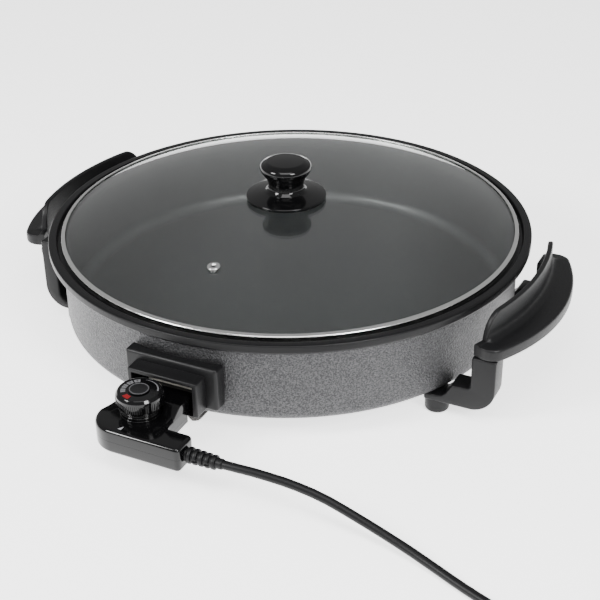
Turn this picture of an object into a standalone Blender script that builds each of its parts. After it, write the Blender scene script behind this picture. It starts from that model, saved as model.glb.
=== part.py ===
"""Electric griddle: a round cast pan with a glass lid, two handles on four legs, and a plug-in thermostat.

Metres, +Z up, floor at z = 0. The socket and its thermostat face -Y, and the handles point to -X and +X.
Shapes are modelled about the pan's own axis, under an empty that puts the whole griddle over the origin.
"""

import math

import bmesh
import bpy
from mathutils import Matrix, Vector

# Driving dimensions, measured from the pan's axis and up from the floor.
GAP = 0.0003
RIM_R = 0.200
RIM_TOP = 0.090
WALL_R = 0.190
WALL_T = 0.0035
PAN_BOTTOM = 0.0175
PAN_FLOOR = 0.0215
CORNER_R = 0.008
DRAFT = 0.0005
LEDGE_Z = 0.0858
RING_R = 0.115
TUBE_R = 0.0036
TUBE_Z = 0.0135

GLASS_R = 0.1882
GLASS_T = 0.0032
BAND_R = 0.1894
BAND_Z = LEDGE_Z + GAP
DOME_RISE = 0.0205
VENT = (-0.004, -0.1225)
KNOB_AT = (-0.0035, 0.0010)
KNOB_R = 0.0215
SKIRT_R = 0.0332

GRIP_R = 0.2130
GUARD_T = 0.0042
GUARD_TOP = 0.090
FLANGE_TOP = 0.0680
FLANGE_T = 0.0105
FLANGE_R = 0.239
FLANGE_ARC_R = 0.160
GRIP_HALF = math.radians(22.3)
GUARD_HALF = math.radians(19.9)
GRIP_TURN = math.radians(-2.2)
LEG_SPANS = {"left": (0.1768, 0.1905), "right": (0.1935, 0.2125)}
LEG_TOP_IN = 0.0735
LEG_Y = 0.0818
LEG_W = 0.0195
ELBOW_R = 0.0190
ARM_Z = 0.0115
ARM_TOP = 0.0293
FOOT_X = 0.165
FOOT_R = 0.0095

SOCKET_W = 0.077
SOCKET_LOW = 0.0315
SOCKET_TOP = 0.067
SOCKET_FACE = -0.1995
SHROUD_W = 0.058
SHROUD_LOW = 0.0295
SHROUD_TOP = 0.0605
SHROUD_FACE = -0.2125
MOUTH_W = 0.051
MOUTH_LOW = 0.0325
MOUTH_TOP = 0.0575
PIN_X = 0.013
PIN_Z = 0.040
PIN_R = 0.0025

CASE_FRONT = -0.2635
CASE_REAR = -0.2425
CASE_LEFT = -0.0345
CASE_RIGHT = 0.0432
CASE_LOW = 0.0220
CASE_TOP = 0.0415
CASE_SPLIT = 0.0320
CASE_WALL = 0.0022
NECK_HALF = 0.0215
NOSE_TOP = 0.0470
NOSE_LOW = 0.0335
NOSE_END = -0.2005
DIAL_X = -0.005
DIAL_Y = -0.2335
DIAL_R = 0.0173
DIAL_LOW = 0.0480
COLLAR_R = 0.0150
DIAL_TOP = 0.0607
SPINDLE_R = 0.0030

CORD_R = 0.00325
CORD_EXIT = Vector((0.0720, -0.2525, 0.0318))
COIL_TURN_R = 0.038
COIL_TURNS_WIDE = 2
COIL_CENTRE = Vector((0.2905, -0.3420, 0.0))
PLUG_R = 0.0185

# The controller's front and the rim's back are equally far from the origin.
PAN_Y = (-CASE_FRONT - RIM_R) / 2

FINISHES = {
    "hammered_grey": ((0.115, 0.115, 0.118), 0.45, 0.6),
    "heater_steel": ((0.30, 0.29, 0.27), 0.40, 1.0),
    "bright_steel": ((0.70, 0.70, 0.70), 0.20, 1.0),
    "lid_glass": ((0.80, 0.84, 0.83), 0.05, 0.0),
    "moulded_black": ((0.022, 0.022, 0.023), 0.45, 0.0),
    "gloss_black": ((0.008, 0.008, 0.009), 0.10, 0.0),
    "dial_face": ((0.012, 0.012, 0.013), 0.25, 0.0),
    "brass": ((0.62, 0.44, 0.16), 0.30, 1.0),
    "ceramic_white": ((0.78, 0.75, 0.68), 0.60, 0.0),
    "screw_steel": ((0.45, 0.45, 0.46), 0.30, 1.0),
    "cord_black": ((0.016, 0.016, 0.017), 0.50, 0.0),
}


def clear_scene():
    for old in list(bpy.data.objects):
        bpy.data.objects.remove(old)


def finish(slot):
    """The Principled material of one slot, made the first time it is asked for."""
    made = bpy.data.materials.get(slot)
    if made:
        return made
    colour, roughness, metallic = FINISHES[slot]
    made = bpy.data.materials.new(slot)
    made.use_nodes = True
    shader = made.node_tree.nodes["Principled BSDF"]
    shader.inputs["Base Color"].default_value = (*colour, 1.0)
    shader.inputs["Roughness"].default_value = roughness
    shader.inputs["Metallic"].default_value = metallic
    return made


def empty(name, place, parent=None):
    made = bpy.data.objects.new(name, None)
    made.location = place
    made.parent = parent
    bpy.context.scene.collection.objects.link(made)
    return made


def add(name, data, slot, parent, centre=(0, 0, 0)):
    """An object of this mesh or curve, whose origin is at centre in the pan's own frame."""
    made = bpy.data.objects.new(name, data)
    data.materials.append(finish(slot))
    data.transform(Matrix.Translation(-Vector(centre)))
    if isinstance(data, bpy.types.Mesh):
        data.shade_smooth()
        data.set_sharp_from_angle(angle=math.radians(35))
    made.parent = parent
    bpy.context.scene.collection.objects.link(made)
    return made


def mesh_of(bm, name):
    bmesh.ops.remove_doubles(bm, verts=bm.verts, dist=1e-6)
    bmesh.ops.recalc_face_normals(bm, faces=bm.faces)
    mesh = bpy.data.meshes.new(name)
    bm.to_mesh(mesh)
    bm.free()
    return mesh


def arc(centre, radius, start, end, steps):
    """Points on an arc in a plane, from start to end degrees."""
    angles = [math.radians(start + (end - start) * i / steps) for i in range(steps + 1)]
    return [(centre[0] + radius * math.cos(a), centre[1] + radius * math.sin(a)) for a in angles]


def turned(name, profile, steps, base=(0, 0, 0), axis=(0, 0, 1)):
    """A mesh turned from a closed profile of (radius, height) points about an axis through base."""
    bm = bmesh.new()
    verts = [bm.verts.new((r, 0, z)) for r, z in profile]
    edges = [bm.edges.new((a, b)) for a, b in zip(verts, verts[1:] + verts[:1])]
    edges = [e for e in edges if any(abs(v.co.x) > 1e-9 for v in e.verts)]
    turn = {"geom": verts + edges, "cent": (0, 0, 0), "axis": (0, 0, 1), "angle": 2 * math.pi}
    bmesh.ops.spin(bm, steps=steps, use_merge=True, **turn)
    stray = [e for e in bm.edges if not e.link_faces]
    bmesh.ops.delete(bm, geom=stray, context="EDGES")
    turn_to = Vector((0, 0, 1)).rotation_difference(Vector(axis)).to_matrix().to_4x4()
    bmesh.ops.transform(bm, matrix=Matrix.Translation(base) @ turn_to, verts=bm.verts)
    return mesh_of(bm, name)


def prism(name, outline, low, high, along="Z"):
    """An outline extruded from low to high: (x, y) along Z, (x, z) along Y, or (y, z) along X."""
    places = {"Z": lambda p, h: (p[0], p[1], h), "Y": lambda p, h: (p[0], h, p[1]), "X": lambda p, h: (h, *p)}
    place = places[along]
    bm = bmesh.new()
    face = bm.faces.new([bm.verts.new(place(p, low)) for p in outline])
    grown = bmesh.ops.extrude_face_region(bm, geom=[face])["geom"]
    shift = Vector(place((0, 0), high - low))
    bmesh.ops.translate(bm, vec=shift, verts=[v for v in grown if isinstance(v, bmesh.types.BMVert)])
    return mesh_of(bm, name)


def block(name, low, high):
    outline = [(low[0], low[1]), (high[0], low[1]), (high[0], high[1]), (low[0], high[1])]
    return prism(name, outline, low[2], high[2])


def loft(name, sections):
    """A closed solid through rings of equally many points."""
    bm = bmesh.new()
    rings = [[bm.verts.new(p) for p in section] for section in sections]
    loops = [[bm.edges.new((a, b)) for a, b in zip(ring, ring[1:] + ring[:1])] for ring in rings]
    for first, second in zip(loops, loops[1:]):
        bmesh.ops.bridge_loops(bm, edges=first + second)
    for ring in (rings[0], rings[-1]):
        bm.faces.new(ring)
    return mesh_of(bm, name)


def tube(name, points, radius, resolution):
    """A round bar or cord along the points, with filled ends."""
    curve = bpy.data.curves.new(name, "CURVE")
    curve.dimensions = "3D"
    curve.bevel_depth = radius
    curve.bevel_resolution = resolution
    curve.use_fill_caps = True
    spline = curve.splines.new("POLY")
    spline.points.add(len(points) - 1)
    for point, place in zip(spline.points, points):
        point.co = (*place, 1)
    return curve


def smooth_route(points, spacing):
    """Evenly spaced points on a Catmull-Rom curve through the given ones."""
    ends = [2 * points[0] - points[1], *points, 2 * points[-1] - points[-2]]
    fine = []
    for p0, p1, p2, p3 in zip(ends, ends[1:], ends[2:], ends[3:]):
        for i in range(20):
            t = i / 20
            bend = 2 * p0 - 5 * p1 + 4 * p2 - p3
            twist = -p0 + 3 * p1 - 3 * p2 + p3
            fine.append((2 * p1 + (p2 - p0) * t + bend * t**2 + twist * t**3) / 2)
    fine.append(points[-1])
    lengths = [0.0]
    for a, b in zip(fine, fine[1:]):
        lengths.append(lengths[-1] + (b - a).length)
    count = max(2, round(lengths[-1] / spacing))
    spread = []
    for i in range(count + 1):
        want = lengths[-1] * i / count
        k = max(j for j, so_far in enumerate(lengths) if so_far <= want + 1e-9)
        k = min(k, len(fine) - 2)
        spread.append(fine[k].lerp(fine[k + 1], (want - lengths[k]) / (lengths[k + 1] - lengths[k])))
    return spread


def soften(piece, width, segments=2, angle=40):
    bevel = piece.modifiers.new("soften", "BEVEL")
    bevel.width = width
    bevel.segments = segments
    bevel.angle_limit = math.radians(angle)
    bevel.use_clamp_overlap = True


def combine(piece, tool_mesh, operation, centre=(0, 0, 0)):
    """Joins to a piece, or cuts from it, a helper mesh given in the pan's own frame."""
    helper = bpy.data.objects.new(f"{piece.name}_{operation.lower()}", tool_mesh)
    tool_mesh.transform(Matrix.Translation(-Vector(centre)))
    helper.parent = piece.parent
    helper.hide_render = True
    helper.display_type = "WIRE"
    bpy.context.scene.collection.objects.link(helper)
    change = piece.modifiers.new(operation.lower(), "BOOLEAN")
    change.operation = operation
    change.object = helper


def screw(name, head, length, radius, head_radius, axis, parent, centre=(0, 0, 0)):
    """A pan-head screw: head is its outer end, and axis points from there along the shank."""
    tall = head_radius * 0.55
    profile = [(0, 0), (head_radius * 0.75, 0), (head_radius, tall * 0.5), (head_radius, tall)]
    profile += [(radius, tall), (radius, length - radius), (0, length)]
    add(name, turned(name, profile, 10, head, axis), "screw_steel", parent, centre)


# The pan and its heater.


def pan(parent):
    corner = arc((WALL_R - DRAFT - CORNER_R, PAN_BOTTOM + CORNER_R), CORNER_R, -90, 0, 4)
    inner_wall = WALL_R - DRAFT - WALL_T
    inside = arc((inner_wall - 0.010, PAN_FLOOR + 0.010), 0.010, 0, -90, 4)
    groove = TUBE_R + 0.0008
    rib = groove + 0.003
    rib_low = PAN_BOTTOM - 0.006
    heater_rib = [
        (RING_R - rib, PAN_BOTTOM),
        (RING_R - rib, rib_low),
        (RING_R - groove, rib_low),
        (RING_R - groove, PAN_BOTTOM),
        (RING_R + groove, PAN_BOTTOM),
        (RING_R + groove, rib_low),
        (RING_R + rib, rib_low),
        (RING_R + rib, PAN_BOTTOM),
    ]
    rim = [
        (WALL_R, RIM_TOP - 0.0095),
        (RIM_R - 0.002, RIM_TOP - 0.0078),
        (RIM_R, RIM_TOP - 0.0058),
        (RIM_R, RIM_TOP - 0.0022),
        (RIM_R - 0.0014, RIM_TOP - 0.0004),
        (RIM_R - 0.0030, RIM_TOP),
        (RIM_R - 0.0064, RIM_TOP),
        (RIM_R - 0.0072, LEDGE_Z),
        (WALL_R - 0.0040, LEDGE_Z),
        (WALL_R - 0.0048, LEDGE_Z - 0.003),
    ]
    profile = [(0, PAN_BOTTOM), *heater_rib, *corner, *rim, *inside, (0, PAN_FLOOR)]
    body = add("pan_body", turned("pan_body", profile, 60), "hammered_grey", parent)
    lead = PIN_X + TUBE_R + 0.007
    low = (-lead, -RING_R - 0.012, PAN_BOTTOM - 0.010)
    combine(body, block("lead_gap", low, (lead, -RING_R + 0.012, PAN_BOTTOM - 0.0002)), "DIFFERENCE")


def heater(parent):
    """The tubular element: a nearly closed ring, whose two leads run out and bend up into the socket."""
    bend = 0.009
    rise_y = SOCKET_FACE + 0.0052
    start = -90 + math.degrees(math.asin((PIN_X + 0.006) / RING_R))
    ring = [Vector((x, y, TUBE_Z)) for x, y in arc((0, 0), RING_R, start, 180 - start, 44)]
    up = arc((rise_y + bend, TUBE_Z + bend), bend, -90, -180, 4)
    out = arc((rise_y - 0.007, PIN_Z - 0.007), 0.007, 0, 90, 4)
    lead = [Vector((PIN_X, y, z)) for y, z in up + out]
    lead.insert(0, Vector((PIN_X, -RING_R - 0.012, TUBE_Z)))
    lead.append(lead[-1] - Vector((0, 0.0012, 0)))
    mirrored = [Vector((-p.x, p.y, p.z)) for p in lead]
    points = lead[::-1] + ring + mirrored
    add("heating_element", tube("heating_element", points, TUBE_R, 2), "heater_steel", parent)
    tip = lead[-1].y
    for side, name in ((-1, "terminal_pin_left"), (1, "terminal_pin_right")):
        profile = [(0, 0), (PIN_R, 0), (PIN_R, 0.0075), (PIN_R * 0.6, 0.0087), (0, 0.0087)]
        base = (side * PIN_X, tip - GAP, PIN_Z)
        add(name, turned(name, profile, 12, base, (0, -1, 0)), "bright_steel", parent)
    for i, degrees in enumerate((0, 90, 180)):
        heater_clip(f"element_clip_{i + 1}", degrees, parent)


def heater_clip(name, degrees, parent):
    """A pressed strap under the element, spanning its two ribs."""
    low = TUBE_Z - TUBE_R - GAP
    mesh = block(name, (RING_R - 0.0085, -0.005, low - 0.0012), (RING_R + 0.0085, 0.005, low))
    mesh.transform(Matrix.Rotation(math.radians(degrees), 4, "Z"))
    add(name, mesh, "screw_steel", parent)


# The socket on the pan's front.


def socket(parent):
    """The moulded housing: a base that follows the pan's wall, and a narrower shroud round the mouth."""
    back = WALL_R + GAP + 0.0002
    half = SOCKET_W / 2
    side = math.degrees(math.asin(half / back))
    wall = arc((0, 0), back, -90 + side, -90 - side, 8)
    outline = [(-half, SOCKET_FACE), (half, SOCKET_FACE), *wall]
    base = prism("socket_housing", outline, SOCKET_LOW, SOCKET_TOP)
    housing = add("socket_housing", base, "moulded_black", parent)
    soften(housing, 0.003, 3, 60)
    low = (-SHROUD_W / 2, SHROUD_FACE, SHROUD_LOW + 0.002)
    combine(housing, block("shroud", low, (SHROUD_W / 2, SOCKET_FACE + 0.004, SHROUD_TOP)), "UNION")
    low = (-MOUTH_W / 2, SHROUD_FACE - 0.01, MOUTH_LOW)
    combine(housing, block("mouth", low, (MOUTH_W / 2, SOCKET_FACE + 0.0015, MOUTH_TOP)), "DIFFERENCE")
    low = (-PIN_X - 0.0065, SOCKET_FACE, SOCKET_LOW - 0.01)
    combine(housing, block("lead_room", low, (PIN_X + 0.0065, -WALL_R + 0.02, PIN_Z + 0.011)), "DIFFERENCE")


def socket_fittings(parent):
    """What is inside the socket: the terminal plate, the sensor sleeve, the earth strip and two screws."""
    plate = (SOCKET_FACE + 0.0012, SOCKET_FACE)
    low = (-0.0192, plate[1], MOUTH_LOW + 0.0005)
    mesh = block("terminal_plate", low, (0.0192, plate[0], PIN_Z + 0.0105))
    piece = add("terminal_plate", mesh, "ceramic_white", parent)
    for x, radius in ((-PIN_X, TUBE_R + 0.0020), (0, 0.0048), (PIN_X, TUBE_R + 0.0020)):
        profile = [(0, -0.01), (radius, -0.01), (radius, 0.01), (0, 0.01)]
        hole = turned("plate_hole", profile, 16, (x, plate[0], PIN_Z), (0, 1, 0))
        combine(piece, hole, "DIFFERENCE")
    bore = 0.0034
    profile = [(bore, 0), (0.0062, 0), (0.0062, 0.0014), (0.0043, 0.0014), (0.0043, 0.016)]
    profile.append((bore, 0.016))
    sleeve = turned("sensor_sleeve", profile, 20, (0, -WALL_R - 0.0006, PIN_Z), (0, -1, 0))
    add("sensor_sleeve", sleeve, "brass", parent)
    low = (-0.006, SHROUD_FACE + 0.002, MOUTH_TOP - 0.0012)
    strip = block("earth_strip", low, (0.006, -0.2002, MOUTH_TOP - GAP))
    add("earth_strip", strip, "bright_steel", parent)
    for side, name in ((-1, "socket_screw_left"), (1, "socket_screw_right")):
        head = (side * (MOUTH_W / 2 - 0.0032), SOCKET_FACE - 0.0016, MOUTH_TOP - 0.0042)
        screw(name, head, 0.0030, 0.0012, 0.0026, (0, 1, 0), parent)


# The handles.


def grip_section(angle):
    """The grip's cross-section at an angle from its middle: a flange with a guard at its inner edge."""
    centre = FLANGE_R - FLANGE_ARC_R
    cos = math.cos(angle)
    outer = centre * cos + math.sqrt(FLANGE_ARC_R**2 - (centre * math.sin(angle)) ** 2)
    into_end = max(0.0, 1 - (GRIP_HALF - abs(angle)) * GRIP_R / 0.009)
    outer -= 0.010 * (1 - math.sqrt(max(0.0, 1 - into_end**2)))
    into_top = max(0.0, min(1.0, 1 - (GUARD_HALF - abs(angle)) * GRIP_R / 0.016))
    stump = FLANGE_TOP + 0.0006
    top = stump + (GUARD_TOP - stump) * math.sqrt(max(0.0, 1 - into_top**2))
    low = FLANGE_TOP - FLANGE_T
    guard = GRIP_R + GUARD_T
    fillet = min(0.006, top - FLANGE_TOP)
    return [
        (GRIP_R + 0.001, low),
        (outer - 0.002, low),
        (outer, low + 0.002),
        (outer, FLANGE_TOP - 0.002),
        (outer - 0.002, FLANGE_TOP),
        (guard + 0.006, FLANGE_TOP),
        (guard + 0.0015, FLANGE_TOP + fillet * 0.3),
        (guard, FLANGE_TOP + fillet),
        (guard, top - 0.0002),
        (guard - 0.0012, top),
        (GRIP_R + 0.0012, top),
        (GRIP_R, top - 0.0002),
        (GRIP_R, low + 0.001),
    ]


def grip(name, side, parent):
    bends = [0.0, 0.16, 0.32, 0.48, 0.62, 0.74, 0.81, 0.86, 0.90, 0.94, 0.97, 0.99, 1.0]
    angles = [-GRIP_HALF * b for b in bends[:0:-1]] + [GRIP_HALF * b for b in bends]
    sections = []
    for angle in angles:
        turn = (side * math.cos(angle + side * GRIP_TURN), math.sin(angle + side * GRIP_TURN))
        sections.append([(r * turn[0], r * turn[1], z) for r, z in grip_section(angle)])
    add(name, loft(name, sections), "moulded_black", parent)


def leg(name, side, end, span, parent):
    """An L in side view: down from the grip, round an elbow and in under the pan to its foot."""
    inner, outer = span
    tucked_in = inner < WALL_R
    under_flange = FLANGE_TOP - FLANGE_T - GAP
    top = LEG_TOP_IN if tucked_in else under_flange
    elbow = arc((outer - ELBOW_R, ARM_Z + ELBOW_R), ELBOW_R, 0, -90, 6)
    under = PAN_BOTTOM - 0.0004
    tuck = [(FOOT_X - 0.008, ARM_Z), (FOOT_X - 0.008, under), (0.1655, under), (0.1712, under + 0.0008)]
    shelf = [(0.1742, 0.0206), (0.1790, ARM_TOP), (inner - 0.002, ARM_TOP), (inner, ARM_TOP + 0.002)]
    if tucked_in:
        shelf = [(0.1742, 0.0206), (inner, 0.0240)]
    outline = [(side * x, z) for x, z in [(outer, top), *elbow, *tuck, *shelf, (inner, top)]]
    middle = end * LEG_Y
    mesh = prism(name, outline, middle - LEG_W / 2, middle + LEG_W / 2, along="Y")
    piece = add(name, mesh, "moulded_black", parent)
    soften(piece, 0.0015, 1, 60)
    flat = FOOT_R - 0.003
    profile = [(0, 0), (flat, 0), (FOOT_R - 0.0008, 0.001), (FOOT_R, 0.0035), (FOOT_R, under), (0, under)]
    combine(piece, turned(f"{name}_foot", profile, 16, (side * FOOT_X, middle, 0)), "UNION")
    bore = [(0, -0.001), (0.0044, -0.001), (0.0044, 0.009), (0, 0.009)]
    combine(piece, turned(f"{name}_bore", bore, 12, (side * FOOT_X, middle, 0)), "DIFFERENCE")
    if tucked_in:
        pad_y = sorted((end * (LEG_Y - 0.005), end * (LEG_Y - LEG_W / 2 + 0.001)))
        pad_x = sorted((side * (outer - 0.004), side * (outer + 0.012)))
        low = (pad_x[0], pad_y[0], under_flange - 0.006)
        pad = block(f"{name}_pad", low, (pad_x[1], pad_y[1], under_flange))
        combine(piece, pad, "UNION")


def handles(parent):
    for side, where in ((-1, "left"), (1, "right")):
        grip(f"grip_{where}", side, parent)
        for end, place in ((-1, "front"), (1, "rear")):
            leg(f"leg_{where}_{place}", side, end, LEG_SPANS[where], parent)
            head = (side * FOOT_X, end * LEG_Y, 0.0045)
            screw(f"foot_screw_{where}_{place}", head, 0.0042, 0.0018, 0.0040, (0, 0, 1), parent)


# The lid.


def glass_top(radius):
    """Height of the glass's upper face: nearly flat in the middle and steeper towards the edge."""
    share = radius / GLASS_R
    return BAND_Z + 0.0009 + GLASS_T + DOME_RISE * (1 - 0.55 * share**2 - 0.45 * share**5)


def lid(parent):
    radii = [0.0064, 0.035, 0.070, 0.100, 0.125, 0.145, 0.162, 0.176, GLASS_R]
    above = [(r, glass_top(r)) for r in radii]
    below = [(r, glass_top(r) - GLASS_T) for r in radii[::-1]]
    glass = add("lid_glass", turned("lid_glass", above + below, 48), "lid_glass", parent)
    vent_z = glass_top(math.hypot(*VENT))
    profile = [(0, -0.008), (0.0038, -0.008), (0.0038, 0.008), (0, 0.008)]
    lean = (0, -0.12, 1)
    combine(glass, turned("vent_hole", profile, 16, (*VENT, vent_z), lean), "DIFFERENCE")
    low, high = BAND_Z, glass_top(GLASS_R) + 0.0008
    cover = 0.0022
    inset = GLASS_R - cover
    channel = [
        (inset, low),
        (BAND_R, low),
        (BAND_R, high),
        (BAND_R - 0.0008, high + 0.0004),
        (inset, glass_top(inset) + 0.0011),
        (inset, glass_top(inset) + 0.0004),
        (GLASS_R + 0.0003, glass_top(GLASS_R) + 0.0003),
        (GLASS_R + 0.0003, low + 0.0006),
        (inset, low + 0.0006),
    ]
    add("lid_band", turned("lid_band", channel, 48), "bright_steel", parent)
    profile = [(0.0018, -0.0050), (0.0034, -0.0050), (0.0034, 0.0004), (0.0050, 0.0004)]
    profile += [(0.0046, 0.0013), (0.0018, 0.0013)]
    add("vent_eyelet", turned("vent_eyelet", profile, 16, (*VENT, vent_z), lean), "bright_steel", parent)


def knob(parent):
    """A flared skirt and a rounded head, held through the glass by a screw and a soft washer."""
    top = glass_top(0) + GAP
    base = (*KNOB_AT, top)
    skirt = [(0.0035, 0.0006), (SKIRT_R - 0.0030, 0), (SKIRT_R, 0.0012), (SKIRT_R, 0.0026)]
    skirt += [(0.0260, 0.0043), (0.0185, 0.0060), (0.0148, 0.0080), (0.0147, 0.0120), (0.0152, 0.0152)]
    skirt.append((0.0035, 0.0152))
    add("knob_skirt", turned("knob_skirt", skirt, 28, base), "gloss_black", parent)
    foot = 0.0155
    head = [(0.0028, foot), (0.0153, foot), (0.0170, foot + 0.0030), (0.0200, foot + 0.0078)]
    head += [(KNOB_R - 0.0003, foot + 0.0097), (KNOB_R, foot + 0.0112), (0.0205, foot + 0.0136)]
    head += [(0.0168, foot + 0.0158), (0.0095, foot + 0.0171), (0, foot + 0.0175)]
    head += [(0, foot + 0.0100), (0.0028, foot + 0.0100)]
    add("knob_head", turned("knob_head", head, 28, base), "gloss_black", parent)
    under = glass_top(0) - GLASS_T
    washer = [(0.0034, 0), (0.0120, 0), (0.0120, -0.0010), (0.0034, -0.0010)]
    below = (*KNOB_AT, under - GAP)
    add("knob_washer", turned("knob_washer", washer, 20, below), "cord_black", parent)
    head = (*KNOB_AT, under - 0.0050)
    screw("knob_screw", head, 0.0285, 0.0022, 0.0052, (0, 0, 1), parent)


# The plug-in thermostat. Its pieces have their origin on the dial's axis.


def case_outline(inset=0.0, neck_end=SHROUD_FACE - 0.0013):
    """The thermostat case in plan: an L with one large rounded corner under the dial."""
    left, right = CASE_LEFT + inset, CASE_RIGHT - inset
    front, rear = CASE_FRONT + inset, CASE_REAR - inset
    neck = NECK_HALF - inset
    big = 0.0215 - inset
    corner = arc((left + big, front + big), big, 180, 270, 7)
    end = arc((right - 0.004, front + 0.004), 0.004, -90, 0, 3)
    end += arc((right - 0.004, rear - 0.004), 0.004, 0, 90, 3)
    inside = arc((neck + 0.004, rear + 0.004), 0.004, -90, -180, 3)
    shoulder = [(left + 0.0005, -0.2400), (left + 0.0023, -0.2350), (left + 0.0040, -0.2278)]
    shoulder += [(-neck - 0.0055, -0.2226), (-neck, -0.2178)]
    return [*corner, *end, *inside, (neck, neck_end), (-neck, neck_end), *shoulder[::-1]]


def case(parent, centre):
    lower = prism("case_lower", case_outline(), CASE_LOW, CASE_SPLIT)
    bottom = add("case_lower", lower, "gloss_black", parent, centre)
    soften(bottom, 0.0016, 2, 60)
    clear = block("neck_step", (-0.06, -0.2280, 0.0), (0.06, -0.19, CASE_LOW + 0.006))
    combine(bottom, clear, "DIFFERENCE", centre)
    room = prism("lower_room", case_outline(CASE_WALL, -0.2165), CASE_LOW + 0.0080, CASE_SPLIT + 0.01)
    combine(bottom, room, "DIFFERENCE", centre)
    deep = prism("deep_room", case_outline(CASE_WALL, -0.2305), CASE_LOW + CASE_WALL, CASE_SPLIT)
    combine(bottom, deep, "DIFFERENCE", centre)
    upper = prism("case_upper", case_outline(), CASE_SPLIT + GAP, CASE_TOP)
    top = add("case_upper", upper, "gloss_black", parent, centre)
    soften(top, 0.0022, 2, 60)
    mouth = SHROUD_FACE - 0.0013
    slope = [(NOSE_END, NOSE_TOP), (-0.2215, NOSE_TOP), (-0.2265, NOSE_TOP - 0.0014)]
    slope.append((-0.2330, CASE_TOP - 0.001))
    seam = CASE_SPLIT + GAP
    slope += [(-0.2330, seam), (mouth, seam), (mouth, NOSE_LOW), (NOSE_END, NOSE_LOW)]
    combine(top, prism("neck", slope, -NECK_HALF, NECK_HALF, along="X"), "UNION", centre)
    clear = COLLAR_R + 0.0008
    recess = [(0, CASE_TOP), (clear, CASE_TOP), (clear, DIAL_LOW), (0, DIAL_LOW)]
    combine(top, turned("dial_recess", recess, 32, (DIAL_X, DIAL_Y, 0)), "DIFFERENCE", centre)
    room = prism("upper_room", case_outline(CASE_WALL, -0.2165), CASE_SPLIT - 0.01, CASE_TOP - CASE_WALL)
    combine(top, room, "DIFFERENCE", centre)
    nose_half = NECK_HALF - CASE_WALL
    low = (-nose_half, -0.2172, NOSE_LOW + 0.0018)
    high = (nose_half, NOSE_END + 0.01, NOSE_TOP - CASE_WALL)
    combine(top, block("nose_room", low, high), "DIFFERENCE", centre)
    hole = [(0, -0.02), (SPINDLE_R + 0.0006, -0.02), (SPINDLE_R + 0.0006, 0.02), (0, 0.02)]
    combine(top, turned("spindle_hole", hole, 16, (DIAL_X, DIAL_Y, CASE_TOP)), "DIFFERENCE", centre)
    for piece in (bottom, top):
        hole = [(0, -0.01), (0.0049, -0.01), (0.0049, 0.01), (0, 0.01)]
        exit_at = (CASE_RIGHT, CORD_EXIT.y, CORD_EXIT.z)
        combine(piece, turned("cord_hole", hole, 16, exit_at, (1, 0, 0)), "DIFFERENCE", centre)


def dial(fixed, turning, centre):
    ring = CASE_TOP + GAP
    collar = [(SPINDLE_R + 0.0008, ring), (COLLAR_R, ring), (COLLAR_R, ring + 0.0010)]
    for step in range(2):
        low = ring + 0.0010 + step * 0.0022
        collar += [(0.0132, low), (0.0132, low + 0.0005), (0.0140, low + 0.0007)]
        collar += [(0.0140, low + 0.0013)]
    collar += [(0.0128, ring + 0.0056), (SPINDLE_R + 0.0008, ring + 0.0056)]
    ring_mesh = turned("dial_collar", collar, 24, (DIAL_X, DIAL_Y, 0))
    add("dial_collar", ring_mesh, "gloss_black", fixed, centre)
    bore = SPINDLE_R + 0.0003
    body = [(bore, DIAL_LOW), (0.0150, DIAL_LOW), (DIAL_R - 0.0006, DIAL_LOW + 0.0020)]
    body += [(DIAL_R, DIAL_TOP - 0.0045), (DIAL_R - 0.0004, DIAL_TOP - 0.0022)]
    body += [(DIAL_R - 0.0014, DIAL_TOP - 0.0006), (DIAL_R - 0.0030, DIAL_TOP)]
    body += [(0, DIAL_TOP), (0, DIAL_TOP - 0.0035), (bore, DIAL_TOP - 0.0035)]
    knob_mesh = turned("dial_knob", body, 32, (DIAL_X, DIAL_Y, 0))
    add("dial_knob", knob_mesh, "gloss_black", turning, centre)
    badge = [(0, 0), (0.0072, 0), (0.0078, 0.0003), (0.0074, 0.0008), (0, 0.0009)]
    top = (DIAL_X, DIAL_Y, DIAL_TOP + GAP)
    add("dial_badge", turned("dial_badge", badge, 28, top), "dial_face", turning, centre)
    low, high = CASE_LOW + 0.0090, DIAL_TOP - 0.0040
    shaft = [(0, low), (SPINDLE_R, low), (SPINDLE_R, high), (0, high)]
    mesh = turned("dial_spindle", shaft, 16, (DIAL_X, DIAL_Y, 0))
    add("dial_spindle", mesh, "bright_steel", turning, centre)


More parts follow.
